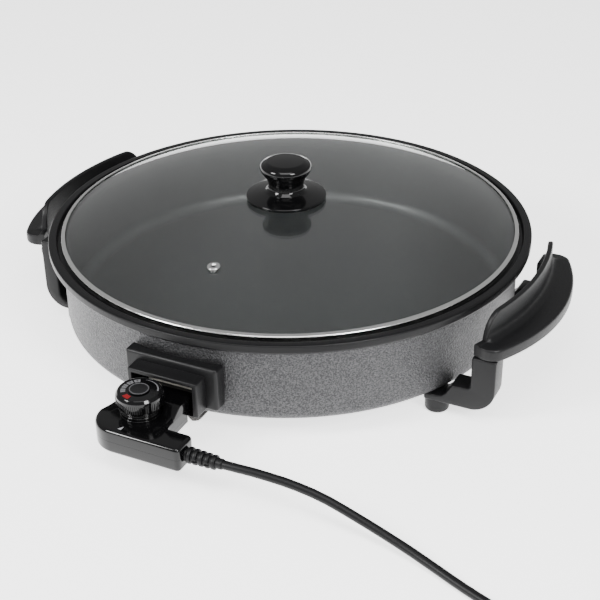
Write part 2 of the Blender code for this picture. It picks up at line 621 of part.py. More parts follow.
def switch_works(parent, centre):
    """What the case holds: receptacles, probe, switch block, bimetal, contact arm and cord clamp."""
    for side, name in ((-1, "receptacle_left"), (1, "receptacle_right")):
        profile = [(PIN_R + 0.0003, 0), (0.0036, 0), (0.0036, 0.0130), (PIN_R + 0.0003, 0.0130)]
        mesh = turned(name, profile, 14, (side * PIN_X, NOSE_END - 0.0035, PIN_Z), (0, -1, 0))
        add(name, mesh, "brass", parent, centre)
    rod = [(0, 0), (0.0022, 0), (0.0030, 0.0012), (0.0030, 0.0255), (0, 0.0255)]
    mesh = turned("probe_rod", rod, 16, (0, -0.1915, PIN_Z), (0, -1, 0))
    add("probe_rod", mesh, "bright_steel", parent, centre)
    floor = CASE_LOW + CASE_WALL + GAP
    switch = block("switch_block", (-0.014, -0.2585, floor), (0.014, -0.2420, floor + 0.0060))
    add("switch_block", switch, "ceramic_white", parent, centre)
    low = (-0.012, -0.2560, floor + 0.0063)
    strip = block("bimetal_strip", low, (-0.008, -0.2400, low[2] + 0.0010))
    add("bimetal_strip", strip, "brass", parent, centre)
    low = (0.003, -0.2560, floor + 0.0063)
    arm = block("contact_arm", low, (0.007, -0.2400, low[2] + 0.0010))
    add("contact_arm", arm, "brass", parent, centre)
    clamp = block("cord_clamp", (0.0300, -0.2580, floor), (0.0360, -0.2470, floor + 0.0020))
    add("cord_clamp", clamp, "moulded_black", parent, centre)
    for i, (x, y) in enumerate(((0.018, -0.2530), (-0.020, -0.2420))):
        head = (x, y, CASE_LOW - 0.0016)
        screw(f"case_screw_{i + 1}", head, 0.0014, 0.0008, 0.0024, (0, 0, 1), parent, centre)


# The cord, its strain relief, coil and plug.


def strain_relief(parent, centre):
    """A ribbed sleeve on the cord that narrows away from the case."""
    start = CASE_RIGHT - 0.0035
    length = CORD_EXIT.x - start
    wall = CORD_R + GAP
    outside = [(0.0044, 0), (0.0044, 0.0042)]
    ribs = 5
    pitch = (length - 0.0048) / ribs
    for i in range(ribs):
        x = 0.0048 + i * pitch
        rib = 0.0058 - 0.0003 * i
        outside += [(rib, x), (rib, x + pitch * 0.55)]
        outside += [(0.0044, x + pitch * 0.70), (0.0044, x + pitch * 0.95)]
    profile = [(0, 0), *outside, (wall, length), (0, length)]
    base = (start, CORD_EXIT.y, CORD_EXIT.z)
    mesh = turned("strain_relief", profile, 16, base, (1, 0, 0))
    add("strain_relief", mesh, "cord_black", parent, centre)


def coil_radii():
    half = COIL_TURNS_WIDE * CORD_R + 0.0010
    return COIL_TURN_R - half, COIL_TURN_R + half


def cord(parent, centre):
    """The free stretch from the strain relief down to the floor and along to the coil, one solid ring."""
    lying = CORD_R + 0.0001
    inner, outer = coil_radii()
    meet = COIL_CENTRE + Vector((outer + CORD_R + GAP, 0.012, lying))
    route = [
        CORD_EXIT + Vector((GAP, 0, 0)),
        Vector((0.0850, -0.2522, 0.0320)),
        Vector((0.0990, -0.2508, 0.0312)),
        Vector((0.1230, -0.2482, 0.0280)),
        Vector((0.1460, -0.2468, 0.0228)),
        Vector((0.1700, -0.2477, 0.0158)),
        Vector((0.1900, -0.2500, 0.0108)),
        Vector((0.2100, -0.2540, 0.0070)),
        Vector((0.2300, -0.2600, 0.0044)),
        Vector((0.2500, -0.2676, lying)),
        Vector((0.2700, -0.2752, lying)),
        Vector((0.2920, -0.2830, lying)),
        Vector((0.3120, -0.2925, lying)),
        Vector((0.3270, -0.3065, lying)),
        Vector((0.3352, -0.3200, lying)),
        meet,
    ]
    points = smooth_route(route, 0.0150)
    add("power_cord", tube("power_cord", points, CORD_R, 2), "cord_black", parent, centre)
    high = COIL_TURNS_WIDE * 2 * CORD_R + 0.0010
    ring = [(inner, 0.0012), (inner + 0.0012, 0), (outer - 0.0012, 0), (outer, 0.0012)]
    ring += [(outer, high - 0.0020), (outer - 0.0020, high), (inner + 0.0020, high), (inner, high - 0.0020)]
    add("cord_coil", turned("cord_coil", ring, 32, COIL_CENTRE), "cord_black", parent, centre)


def plug(parent, centre):
    """The last stretch of cord off the coil, and a round two-pin earthed plug lying on its side."""
    outer = coil_radii()[1]
    base = COIL_CENTRE + Vector((0.010, -outer - PLUG_R - 0.004, PLUG_R + 0.0002))
    off = COIL_CENTRE + Vector((outer + CORD_R + GAP, -0.004, 0.0105))
    route = [
        off,
        off + Vector((0.0006, -0.018, 0.0008)),
        off + Vector((-0.0020, -0.036, 0.0034)),
        off + Vector((-0.0115, -0.0545, 0.0066)),
        base + Vector((0.0130, 0.0006, -0.0003)),
        base + Vector((0.0040, 0, 0)),
    ]
    points = [*smooth_route(route, 0.0120), base + Vector((GAP, 0, 0))]
    add("cord_tail", tube("cord_tail", points, CORD_R, 2), "cord_black", parent, centre)
    body = [(0, 0), (0.0050, 0), (0.0056, 0.012), (0.0110, 0.017), (PLUG_R - 0.001, 0.026), (PLUG_R, 0.030)]
    body += [(PLUG_R, 0.0440), (PLUG_R - 0.001, 0.0460), (0, 0.0460)]
    add("plug_body", turned("plug_body", body, 20, base, (-1, 0, 0)), "cord_black", parent, centre)
    for side, name in ((-1, "plug_pin_1"), (1, "plug_pin_2")):
        pin = [(0, 0), (0.0024, 0), (0.0024, 0.0170), (0.0014, 0.0186), (0, 0.0186)]
        root = base + Vector((-0.0460 - GAP, side * 0.0095, 0))
        add(name, turned(name, pin, 12, root, (-1, 0, 0)), "bright_steel", parent, centre)


def build():
    clear_scene()
    griddle = empty("griddle", (0, PAN_Y, 0))
    lifting = empty("lid_lift_axis", (0, 0, 0), griddle)
    centre = Vector((DIAL_X, DIAL_Y, 0))
    controller = empty("controller_slide_axis", centre, griddle)
    turning = empty("dial_axis", (0, 0, 0), controller)
    pan(griddle)
    heater(griddle)
    socket(griddle)
    socket_fittings(griddle)
    handles(griddle)
    lid(lifting)
    knob(lifting)
    case(controller, centre)
    dial(controller, turning, centre)
    switch_works(controller, centre)
    strain_relief(controller, centre)
    cord(controller, centre)
    plug(controller, centre)


build()
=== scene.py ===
"""Electric griddle: the finished look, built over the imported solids.

Metres, +Z up. Every shape is placed about the pan's own axis and then moved back by PAN_Y.
"""

import math

import bmesh
import bpy
from mathutils import Matrix, Vector


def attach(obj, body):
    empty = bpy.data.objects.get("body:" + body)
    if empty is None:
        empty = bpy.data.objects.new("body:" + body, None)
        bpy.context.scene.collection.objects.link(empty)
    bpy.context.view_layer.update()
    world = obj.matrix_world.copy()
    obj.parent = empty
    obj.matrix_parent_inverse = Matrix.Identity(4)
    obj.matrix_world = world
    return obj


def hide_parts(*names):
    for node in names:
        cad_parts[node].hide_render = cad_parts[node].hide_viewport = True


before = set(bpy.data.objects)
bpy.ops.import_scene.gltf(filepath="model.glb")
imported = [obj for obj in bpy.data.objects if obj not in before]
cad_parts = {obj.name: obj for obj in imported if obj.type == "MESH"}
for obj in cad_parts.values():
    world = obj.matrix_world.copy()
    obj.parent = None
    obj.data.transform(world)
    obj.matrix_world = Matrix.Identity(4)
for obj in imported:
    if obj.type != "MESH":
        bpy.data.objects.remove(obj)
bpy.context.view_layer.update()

# The sizes the solids were made to.
PAN_Y = 0.03175
GAP = 0.0003
RIM_R = 0.200
RIM_TOP = 0.090
WALL_R = 0.190
WALL_T = 0.0035
PAN_BOTTOM = 0.0175
PAN_FLOOR = 0.0215
CORNER_R = 0.008
DRAFT = 0.0005
LEDGE_Z = 0.0858
RING_R = 0.115
TUBE_R = 0.0036

GLASS_R = 0.1882
GLASS_T = 0.0032
BAND_R = 0.1894
BAND_Z = LEDGE_Z + GAP
DOME_RISE = 0.0205
VENT = (-0.004, -0.1225)
KNOB_AT = (-0.0035, 0.0010)
KNOB_R = 0.0215
SKIRT_R = 0.0332

GRIP_R = 0.2130
GUARD_T = 0.0042
GUARD_TOP = 0.090
FLANGE_TOP = 0.0680
FLANGE_T = 0.0105
FLANGE_R = 0.239
FLANGE_ARC_R = 0.160
GRIP_HALF = math.radians(22.3)
GUARD_HALF = math.radians(19.9)
GRIP_TURN = math.radians(-2.2)
LEG_SPANS = {"left": (0.1768, 0.1905), "right": (0.1935, 0.2125)}
LEG_TOP_IN = 0.0735
LEG_Y = 0.0818
LEG_W = 0.0195
ELBOW_R = 0.0190
ARM_Z = 0.0115
ARM_TOP = 0.0293
FOOT_X = 0.165
FOOT_R = 0.0095

SOCKET_W = 0.077
SOCKET_LOW = 0.0315
SOCKET_TOP = 0.067
SOCKET_FACE = -0.1995
SHROUD_W = 0.058
SHROUD_LOW = 0.0295
SHROUD_TOP = 0.0605
SHROUD_FACE = -0.2125
MOUTH_W = 0.051
MOUTH_LOW = 0.0325
MOUTH_TOP = 0.0575
PIN_X = 0.013
PIN_Z = 0.040

CASE_FRONT = -0.2635
CASE_REAR = -0.2425
CASE_LEFT = -0.0345
CASE_RIGHT = 0.0432
CASE_LOW = 0.0220
CASE_TOP = 0.0415
CASE_SPLIT = 0.0320
CASE_WALL = 0.0022
NECK_HALF = 0.0215
NOSE_TOP = 0.0470
NOSE_LOW = 0.0335
NOSE_END = -0.2005
DIAL_X = -0.005
DIAL_Y = -0.2335
DIAL_R = 0.0173
DIAL_LOW = 0.0480
COLLAR_R = 0.0150
DIAL_TOP = 0.0607
SPINDLE_R = 0.0030

CORD_R = 0.00325
CORD_EXIT = Vector((0.0720, -0.2525, 0.0318))
COIL_CENTRE = Vector((0.2905, -0.3420, 0.0))
COIL_OUTER = 0.0455
COIL_TURN_OUT = 0.0421
COIL_TURN_IN = 0.0346
PLUG_R = 0.0185
PLUG_BASE = COIL_CENTRE + Vector((0.010, -COIL_OUTER - PLUG_R - 0.004, PLUG_R + 0.0002))


# Outlines and meshes.


def arc(centre, radius, start, end, steps):
    """Points round part of a circle, angles in degrees."""
    points = []
    for i in range(steps + 1):
        a = math.radians(start + (end - start) * i / steps)
        points.append((centre[0] + radius * math.cos(a), centre[1] + radius * math.sin(a)))
    return points


def fillet(corners, steps=4, closed=False):
    """The points (x, y, radius), each rounded off with its radius."""
    out = []
    last = len(corners) - 1
    for i, (x, y, radius) in enumerate(corners):
        here = Vector((x, y))
        if radius <= 0 or (not closed and i in (0, last)):
            out.append((x, y))
            continue
        before = Vector(corners[i - 1][:2]) - here
        after = Vector(corners[(i + 1) % (last + 1)][:2]) - here
        cut = radius / math.tan(before.angle(after) / 2)
        a = here + before.normalized() * min(cut, 0.49 * before.length)
        b = here + after.normalized() * min(cut, 0.49 * after.length)
        for k in range(steps + 1):
            t = k / steps
            point = a * (1 - t) ** 2 + here * 2 * t * (1 - t) + b * t * t
            out.append((point.x, point.y))
    return out


def mesh_of(bm, name):
    bmesh.ops.recalc_face_normals(bm, faces=bm.faces[:])
    mesh = bpy.data.meshes.new(name)
    bm.to_mesh(mesh)
    bm.free()
    return mesh


def skin(bm, rings, closed_way, closed_round, slots=None):
    """Faces between neighbouring rings of points; a ring of one point closes to it."""
    pairs = list(zip(rings, rings[1:]))
    if closed_way:
        pairs.append((rings[-1], rings[0]))
    for k, (low, high) in enumerate(pairs):
        count = max(len(low), len(high))
        for i in range(count if closed_round else count - 1):
            j = (i + 1) % count
            corners = [low[i % len(low)], low[j % len(low)], high[j % len(high)], high[i % len(high)]]
            corners = list(dict.fromkeys(corners))
            if len(corners) > 2:
                face = bm.faces.new(corners)
                face.material_index = slots[k] if slots else 0


def placed(mesh, base=(0, 0, 0), axis=(0, 0, 1)):
    turn = Matrix.Identity(4)
    if tuple(axis) != (0, 0, 1):
        turn = Vector(axis).to_track_quat("Z", "Y").to_matrix().to_4x4()
    mesh.transform(Matrix.Translation(base) @ turn)
    return mesh


def lathe(name, profile, steps=96, base=(0, 0, 0), axis=(0, 0, 1), slots=None, span=None):
    """A body of revolution from (radius, height) pairs, or the part of one between two angles."""
    bm = bmesh.new()
    start, end = span or (0.0, 2 * math.pi)
    count = steps + 1 if span else steps
    rings = []
    for radius, height in profile:
        if radius < 1e-7:
            rings.append([bm.verts.new((0, 0, height))])
            continue
        angles = [start + (end - start) * i / steps for i in range(count)]
        rings.append([bm.verts.new((radius * math.cos(a), radius * math.sin(a), height)) for a in angles])
    open_way = profile[0][0] < 1e-7
    skin(bm, rings, not open_way, not span, slots)
    if span:
        bm.faces.new([ring[0] for ring in rings])
        bm.faces.new([ring[-1] for ring in rings])
    return placed(mesh_of(bm, name), base, axis)


def loft(name, sections):
    """A closed solid through rings of equally many points."""
    bm = bmesh.new()
    rings = [[bm.verts.new(p) for p in section] for section in sections]
    skin(bm, rings, False, True)
    bm.faces.new(rings[0])
    bm.faces.new(rings[-1])
    return mesh_of(bm, name)


def prism(name, outline, low, high, along="Z"):
    """An outline pushed along an axis: XY outlines along Z, XZ along Y and YZ along X."""
    ways = {"Z": lambda a, b, c: (a, b, c), "Y": lambda a, b, c: (a, c, b), "X": lambda a, b, c: (c, a, b)}
    place = ways[along]
    return loft(name, [[place(a, b, c) for a, b in outline] for c in (low, high)])


def block(name, low, high):
    outline = [(low[0], low[1]), (high[0], low[1]), (high[0], high[1]), (low[0], high[1])]
    return prism(name, outline, low[2], high[2])


def joined(name, *meshes):
    bm = bmesh.new()
    for mesh in meshes:
        bm.from_mesh(mesh)
    out = bpy.data.meshes.new(name)
    bm.to_mesh(out)
    bm.free()
    return out


def held(name, mesh):
    obj = bpy.data.objects.new(name, mesh)
    bpy.context.scene.collection.objects.link(obj)
    return obj


def settled(obj, helpers=()):
    """The mesh an object has after its modifiers; the object and its helpers go away."""
    bpy.context.view_layer.update()
    graph = bpy.context.evaluated_depsgraph_get()
    mesh = bpy.data.meshes.new_from_object(obj.evaluated_get(graph))
    for old in (obj, *helpers):
        bpy.data.objects.remove(old)
    return mesh


def carve(mesh, width=0.0, segments=3, joins=(), cuts=(), angle=50):
    """The mesh with its sharp edges rounded, then other shapes joined to it and cut from it."""
    obj = held("carving", mesh)
    if width:
        bevel = obj.modifiers.new("round", "BEVEL")
        bevel.width = width
        bevel.segments = segments
        bevel.angle_limit = math.radians(angle)
    helpers = []
    for shapes, operation in ((joins, "UNION"), (cuts, "DIFFERENCE")):
        for shape in shapes:
            helper = held("helper", shape)
            helper.hide_render = True
            change = obj.modifiers.new("change", "BOOLEAN")
            change.operation = operation
            change.object = helper
            helpers.append(helper)
    return settled(obj, helpers)


def piece(name, mesh, body, materials, replaced=(), sharp=38):
    """One finished piece that rides on a body, in the griddle's place."""
    mesh.name = name
    mesh.transform(Matrix.Translation((0, PAN_Y, 0)))
    if len(mesh.materials):
        mesh.materials.clear()
    for made in materials:
        mesh.materials.append(made)
    mesh.polygons.foreach_set("use_smooth", [True] * len(mesh.polygons))
    mesh.set_sharp_from_angle(angle=math.radians(sharp))
    obj = held(name, mesh)
    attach(obj, body)
    if replaced:
        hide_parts(*replaced)
    return obj


# Geometry Nodes for what repeats.


def node_group(name, sockets):
    tree = bpy.data.node_groups.new(name, "GeometryNodeTree")
    tree.interface.new_socket("Geometry", in_out="OUTPUT", socket_type="NodeSocketGeometry")
    for label, kind in sockets:
        tree.interface.new_socket(label, in_out="INPUT", socket_type=kind)
    return tree, tree.nodes.new("NodeGroupInput"), tree.nodes.new("NodeGroupOutput")


def copies_on(points_node, name, sockets):
    """A tree that puts copies of a shape on points, makes them real and gives them their finish."""
    sockets = [("Shape", "NodeSocketObject"), *sockets, ("Finish", "NodeSocketMaterial")]
    tree, given, out = node_group(name, sockets)
    new, link = tree.nodes.new, tree.links.new
    points = new(points_node)
    info = new("GeometryNodeObjectInfo")
    copies = new("GeometryNodeInstanceOnPoints")
    real = new("GeometryNodeRealizeInstances")
    painted = new("GeometryNodeSetMaterial")
    link(given.outputs["Shape"], info.inputs["Object"])
    link(points.outputs["Mesh"], copies.inputs["Points"])
    link(info.outputs["Geometry"], copies.inputs["Instance"])
    link(copies.outputs["Instances"], real.inputs["Geometry"])
    link(real.outputs["Geometry"], painted.inputs["Geometry"])
    link(given.outputs["Finish"], painted.inputs["Material"])
    link(painted.outputs["Geometry"], out.inputs["Geometry"])
    return tree, given, points, copies


def row_of_copies(name):
    """Copies of one shape along a line, each turned on and drawn in a little more than the last."""
    sockets = [
        ("Count", "NodeSocketInt"),
        ("Start", "NodeSocketVector"),
        ("Step", "NodeSocketVector"),
        ("Turn each", "NodeSocketVector"),
        ("Shrink each", "NodeSocketFloat"),
    ]
    tree, given, line, copies = copies_on("GeometryNodeMeshLine", name, sockets)
    new, link = tree.nodes.new, tree.links.new
    line.mode = "OFFSET"
    index = new("GeometryNodeInputIndex")
    turn = new("ShaderNodeVectorMath")
    turn.operation = "SCALE"
    shrink = new("ShaderNodeMath")
    shrink.operation = "MULTIPLY"
    size = new("ShaderNodeMath")
    size.operation = "SUBTRACT"
    size.inputs[0].default_value = 1.0
    wide = new("ShaderNodeCombineXYZ")
    wide.inputs["X"].default_value = 1.0
    link(given.outputs["Count"], line.inputs["Count"])
    link(given.outputs["Start"], line.inputs["Start Location"])
    link(given.outputs["Step"], line.inputs["Offset"])
    link(given.outputs["Turn each"], turn.inputs[0])
    link(index.outputs["Index"], turn.inputs["Scale"])
    link(turn.outputs["Vector"], copies.inputs["Rotation"])
    link(given.outputs["Shrink each"], shrink.inputs[0])
    link(index.outputs["Index"], shrink.inputs[1])
    link(shrink.outputs["Value"], size.inputs[1])
    link(size.outputs["Value"], wide.inputs["Y"])
    link(size.outputs["Value"], wide.inputs["Z"])
    link(wide.outputs["Vector"], copies.inputs["Scale"])
    return tree


def corners_of_copies(name):
    """Copies of one shape at the corners of a rectangle, all the same way up."""
    sockets = [("Across", "NodeSocketFloat"), ("Along", "NodeSocketFloat")]
    tree, given, grid, _ = copies_on("GeometryNodeMeshGrid", name, sockets)
    grid.inputs["Vertices X"].default_value = 2
    grid.inputs["Vertices Y"].default_value = 2
    tree.links.new(given.outputs["Across"], grid.inputs["Size X"])
    tree.links.new(given.outputs["Along"], grid.inputs["Size Y"])
    return tree


def ring_of_copies(name):
    """Copies of one shape round part of a circle about Z, each facing out."""
    sockets = [
        ("Count", "NodeSocketInt"),
        ("First angle", "NodeSocketFloat"),
        ("Angle step", "NodeSocketFloat"),
    ]
    tree, given, line, copies = copies_on("GeometryNodeMeshLine", name, sockets)
    new, link = tree.nodes.new, tree.links.new
    line.inputs["Offset"].default_value = (0, 0, 0)
    index = new("GeometryNodeInputIndex")
    angle = new("ShaderNodeMath")
    angle.operation = "MULTIPLY_ADD"
    turn = new("ShaderNodeCombineXYZ")
    link(given.outputs["Count"], line.inputs["Count"])
    link(index.outputs["Index"], angle.inputs[0])
    link(given.outputs["Angle step"], angle.inputs[1])
    link(given.outputs["First angle"], angle.inputs[2])
    link(angle.outputs["Value"], turn.inputs["Z"])
    link(turn.outputs["Vector"], copies.inputs["Rotation"])
    return tree


def repeated(tree, shape, **given):
    """The mesh a repeating tree makes of a shape, with its inputs set by label."""
    source = held("repeated_shape", shape)
    carrier = held("carrier", bpy.data.meshes.new("carrier"))
    nodes = carrier.modifiers.new("repeat", "NODES")
    nodes.node_group = tree
    given["Shape"] = source
    for item in tree.interface.items_tree:
        if item.in_out == "INPUT":
            nodes[item.identifier] = given[item.name]
    return settled(carrier, [source])


# Finishes.


def finish(name, colour, roughness, metallic=0.0, grain=None, fleck=None, wear=None, mirror=0.5):
    """A Principled finish. grain = (scale, strength, depth), fleck = (scale, colour, low, high),
    wear = (scale, low, high) for how roughness wanders."""
    made = bpy.data.materials.new(name)
    made.use_nodes = True
    nodes, link = made.node_tree.nodes, made.node_tree.links.new
    shader = nodes["Principled BSDF"]
    shader.inputs["Base Color"].default_value = (*colour, 1)
    shader.inputs["Roughness"].default_value = roughness
    shader.inputs["Metallic"].default_value = metallic
    shader.inputs["Specular IOR Level"].default_value = mirror
    where = nodes.new("ShaderNodeTexCoord").outputs["Object"]
    if grain:
        noise = noise_at(nodes, link, where, grain[0])
        bump = nodes.new("ShaderNodeBump")
        bump.inputs["Strength"].default_value = grain[1]
        bump.inputs["Distance"].default_value = grain[2]
        link(noise, bump.inputs["Height"])
        link(bump.outputs["Normal"], shader.inputs["Normal"])
    if fleck:
        noise = noise_at(nodes, link, where, fleck[0])
        share = ranged(nodes, link, noise, fleck[2], fleck[3], 0.0, 1.0)
        mixed = nodes.new("ShaderNodeMix")
        mixed.data_type = "RGBA"
        mixed.inputs["A"].default_value = (*colour, 1)
        mixed.inputs["B"].default_value = (*fleck[1], 1)
        link(share, mixed.inputs["Factor"])
        link(mixed.outputs["Result"], shader.inputs["Base Color"])
    if wear:
        noise = noise_at(nodes, link, where, wear[0])
        link(ranged(nodes, link, noise, 0.35, 0.65, wear[1], wear[2]), shader.inputs["Roughness"])
    return made


def noise_at(nodes, link, where, scale, detail=3.0):
    noise = nodes.new("ShaderNodeTexNoise")
    noise.inputs["Scale"].default_value = scale
    noise.inputs["Detail"].default_value = detail
    link(where, noise.inputs["Vector"])
    return noise.outputs["Fac"]


def ranged(nodes, link, value, low, high, to_low, to_high):
    remap = nodes.new("ShaderNodeMapRange")
    for label, number in (("From Min", low), ("From Max", high), ("To Min", to_low), ("To Max", to_high)):
        remap.inputs[label].default_value = number
    link(value, remap.inputs["Value"])
    return remap.outputs["Result"]


def clear_glass(name, colour):
    """Glass that lets lamps through."""
    made = bpy.data.materials.new(name)
    made.use_nodes = True
    nodes, link = made.node_tree.nodes, made.node_tree.links.new
    shader = nodes["Principled BSDF"]
    shader.inputs["Base Color"].default_value = (*colour, 1)
    shader.inputs["Transmission Weight"].default_value = 1.0
    shader.inputs["Roughness"].default_value = 0.02
    shader.inputs["IOR"].default_value = 1.45
    through = nodes.new("ShaderNodeBsdfTransparent")
    through.inputs["Color"].default_value = (0.93, 0.95, 0.94, 1)
    path = nodes.new("ShaderNodeLightPath")
    mix = nodes.new("ShaderNodeMixShader")
    link(path.outputs["Is Shadow Ray"], mix.inputs["Fac"])
    link(shader.outputs["BSDF"], mix.inputs[1])
    link(through.outputs["BSDF"], mix.inputs[2])
    link(mix.outputs["Shader"], nodes["Material Output"].inputs["Surface"])
    return made


HAMMERED = finish(
    "hammered_grey", (0.036, 0.036, 0.038), 0.40, 0.70, grain=(740, 1.0, 0.0010),
    fleck=(800, (0.082, 0.082, 0.084), 0.42, 0.60), wear=(500, 0.32, 0.46), mirror=0.4,
)
RIM_BLACK = finish(
    "rim_black", (0.0045, 0.0045, 0.0048), 0.34, 0.0, grain=(800, 0.30, 0.0004),
    wear=(700, 0.28, 0.40), mirror=0.16,
)
NON_STICK = finish(
    "non_stick", (0.010, 0.010, 0.0105), 0.40, 0.0,
    grain=(1400, 0.12, 0.0003), fleck=(1600, (0.022, 0.022, 0.023), 0.55, 0.70), mirror=0.4,
)
BARE_CAST = finish(
    "bare_cast", (0.30, 0.30, 0.31), 0.50, 0.9, grain=(380, 0.35, 0.0007), wear=(60, 0.42, 0.6)
)
MOULDED = finish(
    "moulded_black", (0.0050, 0.0050, 0.0054), 0.38, 0.0, grain=(2600, 0.22, 0.0003),
    wear=(900, 0.34, 0.44), mirror=0.20,
)
GLOSS = finish("gloss_black", (0.0020, 0.0020, 0.0022), 0.09, 0.0, wear=(90, 0.07, 0.12), mirror=0.32)
STEEL = finish("bright_steel", (0.74, 0.74, 0.73), 0.18, 1.0, wear=(140, 0.13, 0.24))
SCREW = finish("screw_steel", (0.50, 0.50, 0.51), 0.28, 1.0, wear=(900, 0.22, 0.38))
# The element's own dark sheath steel, made darker still as painted shade, so the lead that shows under the
# socket blends with the shadow there. The flecks are random tone.
HEATER_SHADE_DARK = finish(
    "heater_steel", (0.030, 0.028, 0.026), 0.55, 0.5,
    fleck=(45, (0.015, 0.014, 0.013), 0.42, 0.66), wear=(240, 0.46, 0.62), mirror=0.3,
)
# Nearly black steel for the earth strip: painted shade, standing for the shade that falls inside the socket's
# mouth.
STRIP_SHADE_DARK = finish("earth_strip_painted_shade", (0.012, 0.012, 0.012), 0.55, 0.0, wear=(300, 0.48, 0.62), mirror=0.2)
BRASS = finish("brass", (0.62, 0.44, 0.16), 0.30, 1.0, wear=(500, 0.22, 0.40))
CERAMIC = finish("ceramic_white", (0.74, 0.71, 0.64), 0.62, 0.0, grain=(1500, 0.15, 0.0003))
RUBBER = finish(
    "cord_black", (0.0040, 0.0040, 0.0044), 0.42, 0.0, grain=(1800, 0.15, 0.0003), mirror=0.18
)
PRINT_WHITE = finish("print_white", (0.26, 0.26, 0.27), 0.40, 0.0, wear=(700, 0.34, 0.46))
PRINT_GREY = finish("print_grey", (0.10, 0.10, 0.105), 0.40, 0.0, wear=(700, 0.34, 0.46))
PRINT_RED = finish("print_red", (0.16, 0.002, 0.004), 0.40, 0.0, wear=(700, 0.34, 0.46))
DIAL_BLACK = finish("dial_face", (0.006, 0.006, 0.0065), 0.32, 0.0, grain=(2400, 0.08, 0.0002), mirror=0.3)
GLASS = clear_glass("lid_glass", (0.93, 0.96, 0.95))

COPIES_IN_A_ROW = row_of_copies("copies_in_a_row")
COPIES_AT_CORNERS = corners_of_copies("copies_at_corners")
COPIES_ROUND = ring_of_copies("copies_round")


# Camera.

LENS = 77.5
VIEW_ANGLES = (26.2, 29.80, -0.823)  # azimuth, elevation and roll in degrees
LOOKED_AT = Vector((0.0067, 0.0349, 0.0131))
VIEW_DISTANCE = 1.11874


def camera():
    data = bpy.data.cameras.new("camera")
    data.lens = LENS
    data.sensor_width = 36.0
    data.clip_end = 20.0
    cam = bpy.data.objects.new("camera", data)
    bpy.context.scene.collection.objects.link(cam)
    azimuth, elevation, roll = map(math.radians, VIEW_ANGLES)
    flat = math.cos(elevation)
    back = Vector((math.sin(azimuth) * flat, -math.cos(azimuth) * flat, math.sin(elevation)))
    cam.location = LOOKED_AT + back * VIEW_DISTANCE
    cam.rotation_mode = "QUATERNION"
    look = (-back).to_track_quat("-Z", "Y").to_matrix()
    cam.rotation_quaternion = (look @ Matrix.Rotation(roll, 3, "Z")).to_quaternion()
    bpy.context.scene.camera = cam


camera()


# The cord, its tie and its plug.


def smooth_route(points, spacing):
    """Evenly spaced points on a Catmull-Rom curve through the given ones."""
    ends = [2 * points[0] - points[1], *points, 2 * points[-1] - points[-2]]
    fine = []
    for p0, p1, p2, p3 in zip(ends, ends[1:], ends[2:], ends[3:]):
        for i in range(20):
            t = i / 20
            bend = 2 * p0 - 5 * p1 + 4 * p2 - p3
            twist = -p0 + 3 * p1 - 3 * p2 + p3
            fine.append((2 * p1 + (p2 - p0) * t + bend * t**2 + twist * t**3) / 2)
    fine.append(points[-1])
    lengths = [0.0]
    for a, b in zip(fine, fine[1:]):
        lengths.append(lengths[-1] + (b - a).length)
    count = max(2, round(lengths[-1] / spacing))
    spread = []
    for i in range(count + 1):
        want = lengths[-1] * i / count
        k = max(j for j, so_far in enumerate(lengths) if so_far <= want + 1e-9)
        k = min(k, len(fine) - 2)
        spread.append(fine[k].lerp(fine[k + 1], (want - lengths[k]) / (lengths[k + 1] - lengths[k])))
    return spread


def cord_run():
    """From the strain relief down to the floor and along to where the coil begins."""
    lying = CORD_R + 0.0001
    route = [
        CORD_EXIT,
        Vector((0.0850, -0.2522, 0.0320)),
        Vector((0.0990, -0.2508, 0.0312)),
        Vector((0.1230, -0.2482, 0.0280)),
        Vector((0.1460, -0.2468, 0.0228)),
        Vector((0.1700, -0.2477, 0.0158)),
        Vector((0.1900, -0.2500, 0.0108)),
        Vector((0.2100, -0.2540, 0.0070)),
        Vector((0.2300, -0.2600, 0.0044)),
        Vector((0.2500, -0.2676, lying)),
        Vector((0.2700, -0.2752, lying)),
        Vector((0.2920, -0.2830, lying)),
        Vector((0.3120, -0.2925, lying)),
        Vector((0.3260, -0.3050, lying)),
        COIL_CENTRE + coil_point(math.radians(26), COIL_TURN_OUT, lying),
    ]
    return smooth_route(route, 0.0110)


def coil_point(angle, radius, height):
    return Vector((radius * math.cos(angle), radius * math.sin(angle), height))


def coil_run():
    """Two turns on the floor, the outer one first, then two more on top of them."""
    low = CORD_R + 0.0001
    high = low + 2 * CORD_R + 0.0004
    keys = [
        (0.0, COIL_TURN_OUT, low),
        (0.90, COIL_TURN_OUT, low),
        (1.06, COIL_TURN_IN, low),
        (1.94, COIL_TURN_IN, low),
        (2.10, COIL_TURN_IN, high),
        (2.92, COIL_TURN_IN, high),
        (3.08, COIL_TURN_OUT, high),
        (3.98, COIL_TURN_OUT, high),
    ]
    points = []
    per_turn = 20
    first = math.radians(26)
    for i in range(1, round(keys[-1][0] * per_turn) + 1):
        turns = i / per_turn
        k = max(j for j, key in enumerate(keys) if key[0] <= turns)
        a, b = keys[min(k, len(keys) - 2)], keys[min(k, len(keys) - 2) + 1]
        t = (turns - a[0]) / (b[0] - a[0])
        ease = t * t * (3 - 2 * t)
        radius, height = a[1] + (b[1] - a[1]) * ease, a[2] + (b[2] - a[2]) * ease
        points.append(COIL_CENTRE + coil_point(first - turns * 2 * math.pi, radius, height))
    return points


def tail_run(start):
    route = [
        start,
        COIL_CENTRE + Vector((0.0446, 0.0040, 0.0104)),
        COIL_CENTRE + Vector((0.0478, -0.0130, 0.0108)),
        COIL_CENTRE + Vector((0.0494, -0.0300, 0.0126)),
        COIL_CENTRE + Vector((0.0457, -0.0470, 0.0152)),
        COIL_CENTRE + Vector((0.0350, -0.0620, 0.0176)),
        PLUG_BASE + Vector((0.0140, 0.0006, -0.0002)),
        PLUG_BASE + Vector((0.0040, 0, 0)),
    ]
    return smooth_route(route, 0.0085)[1:]


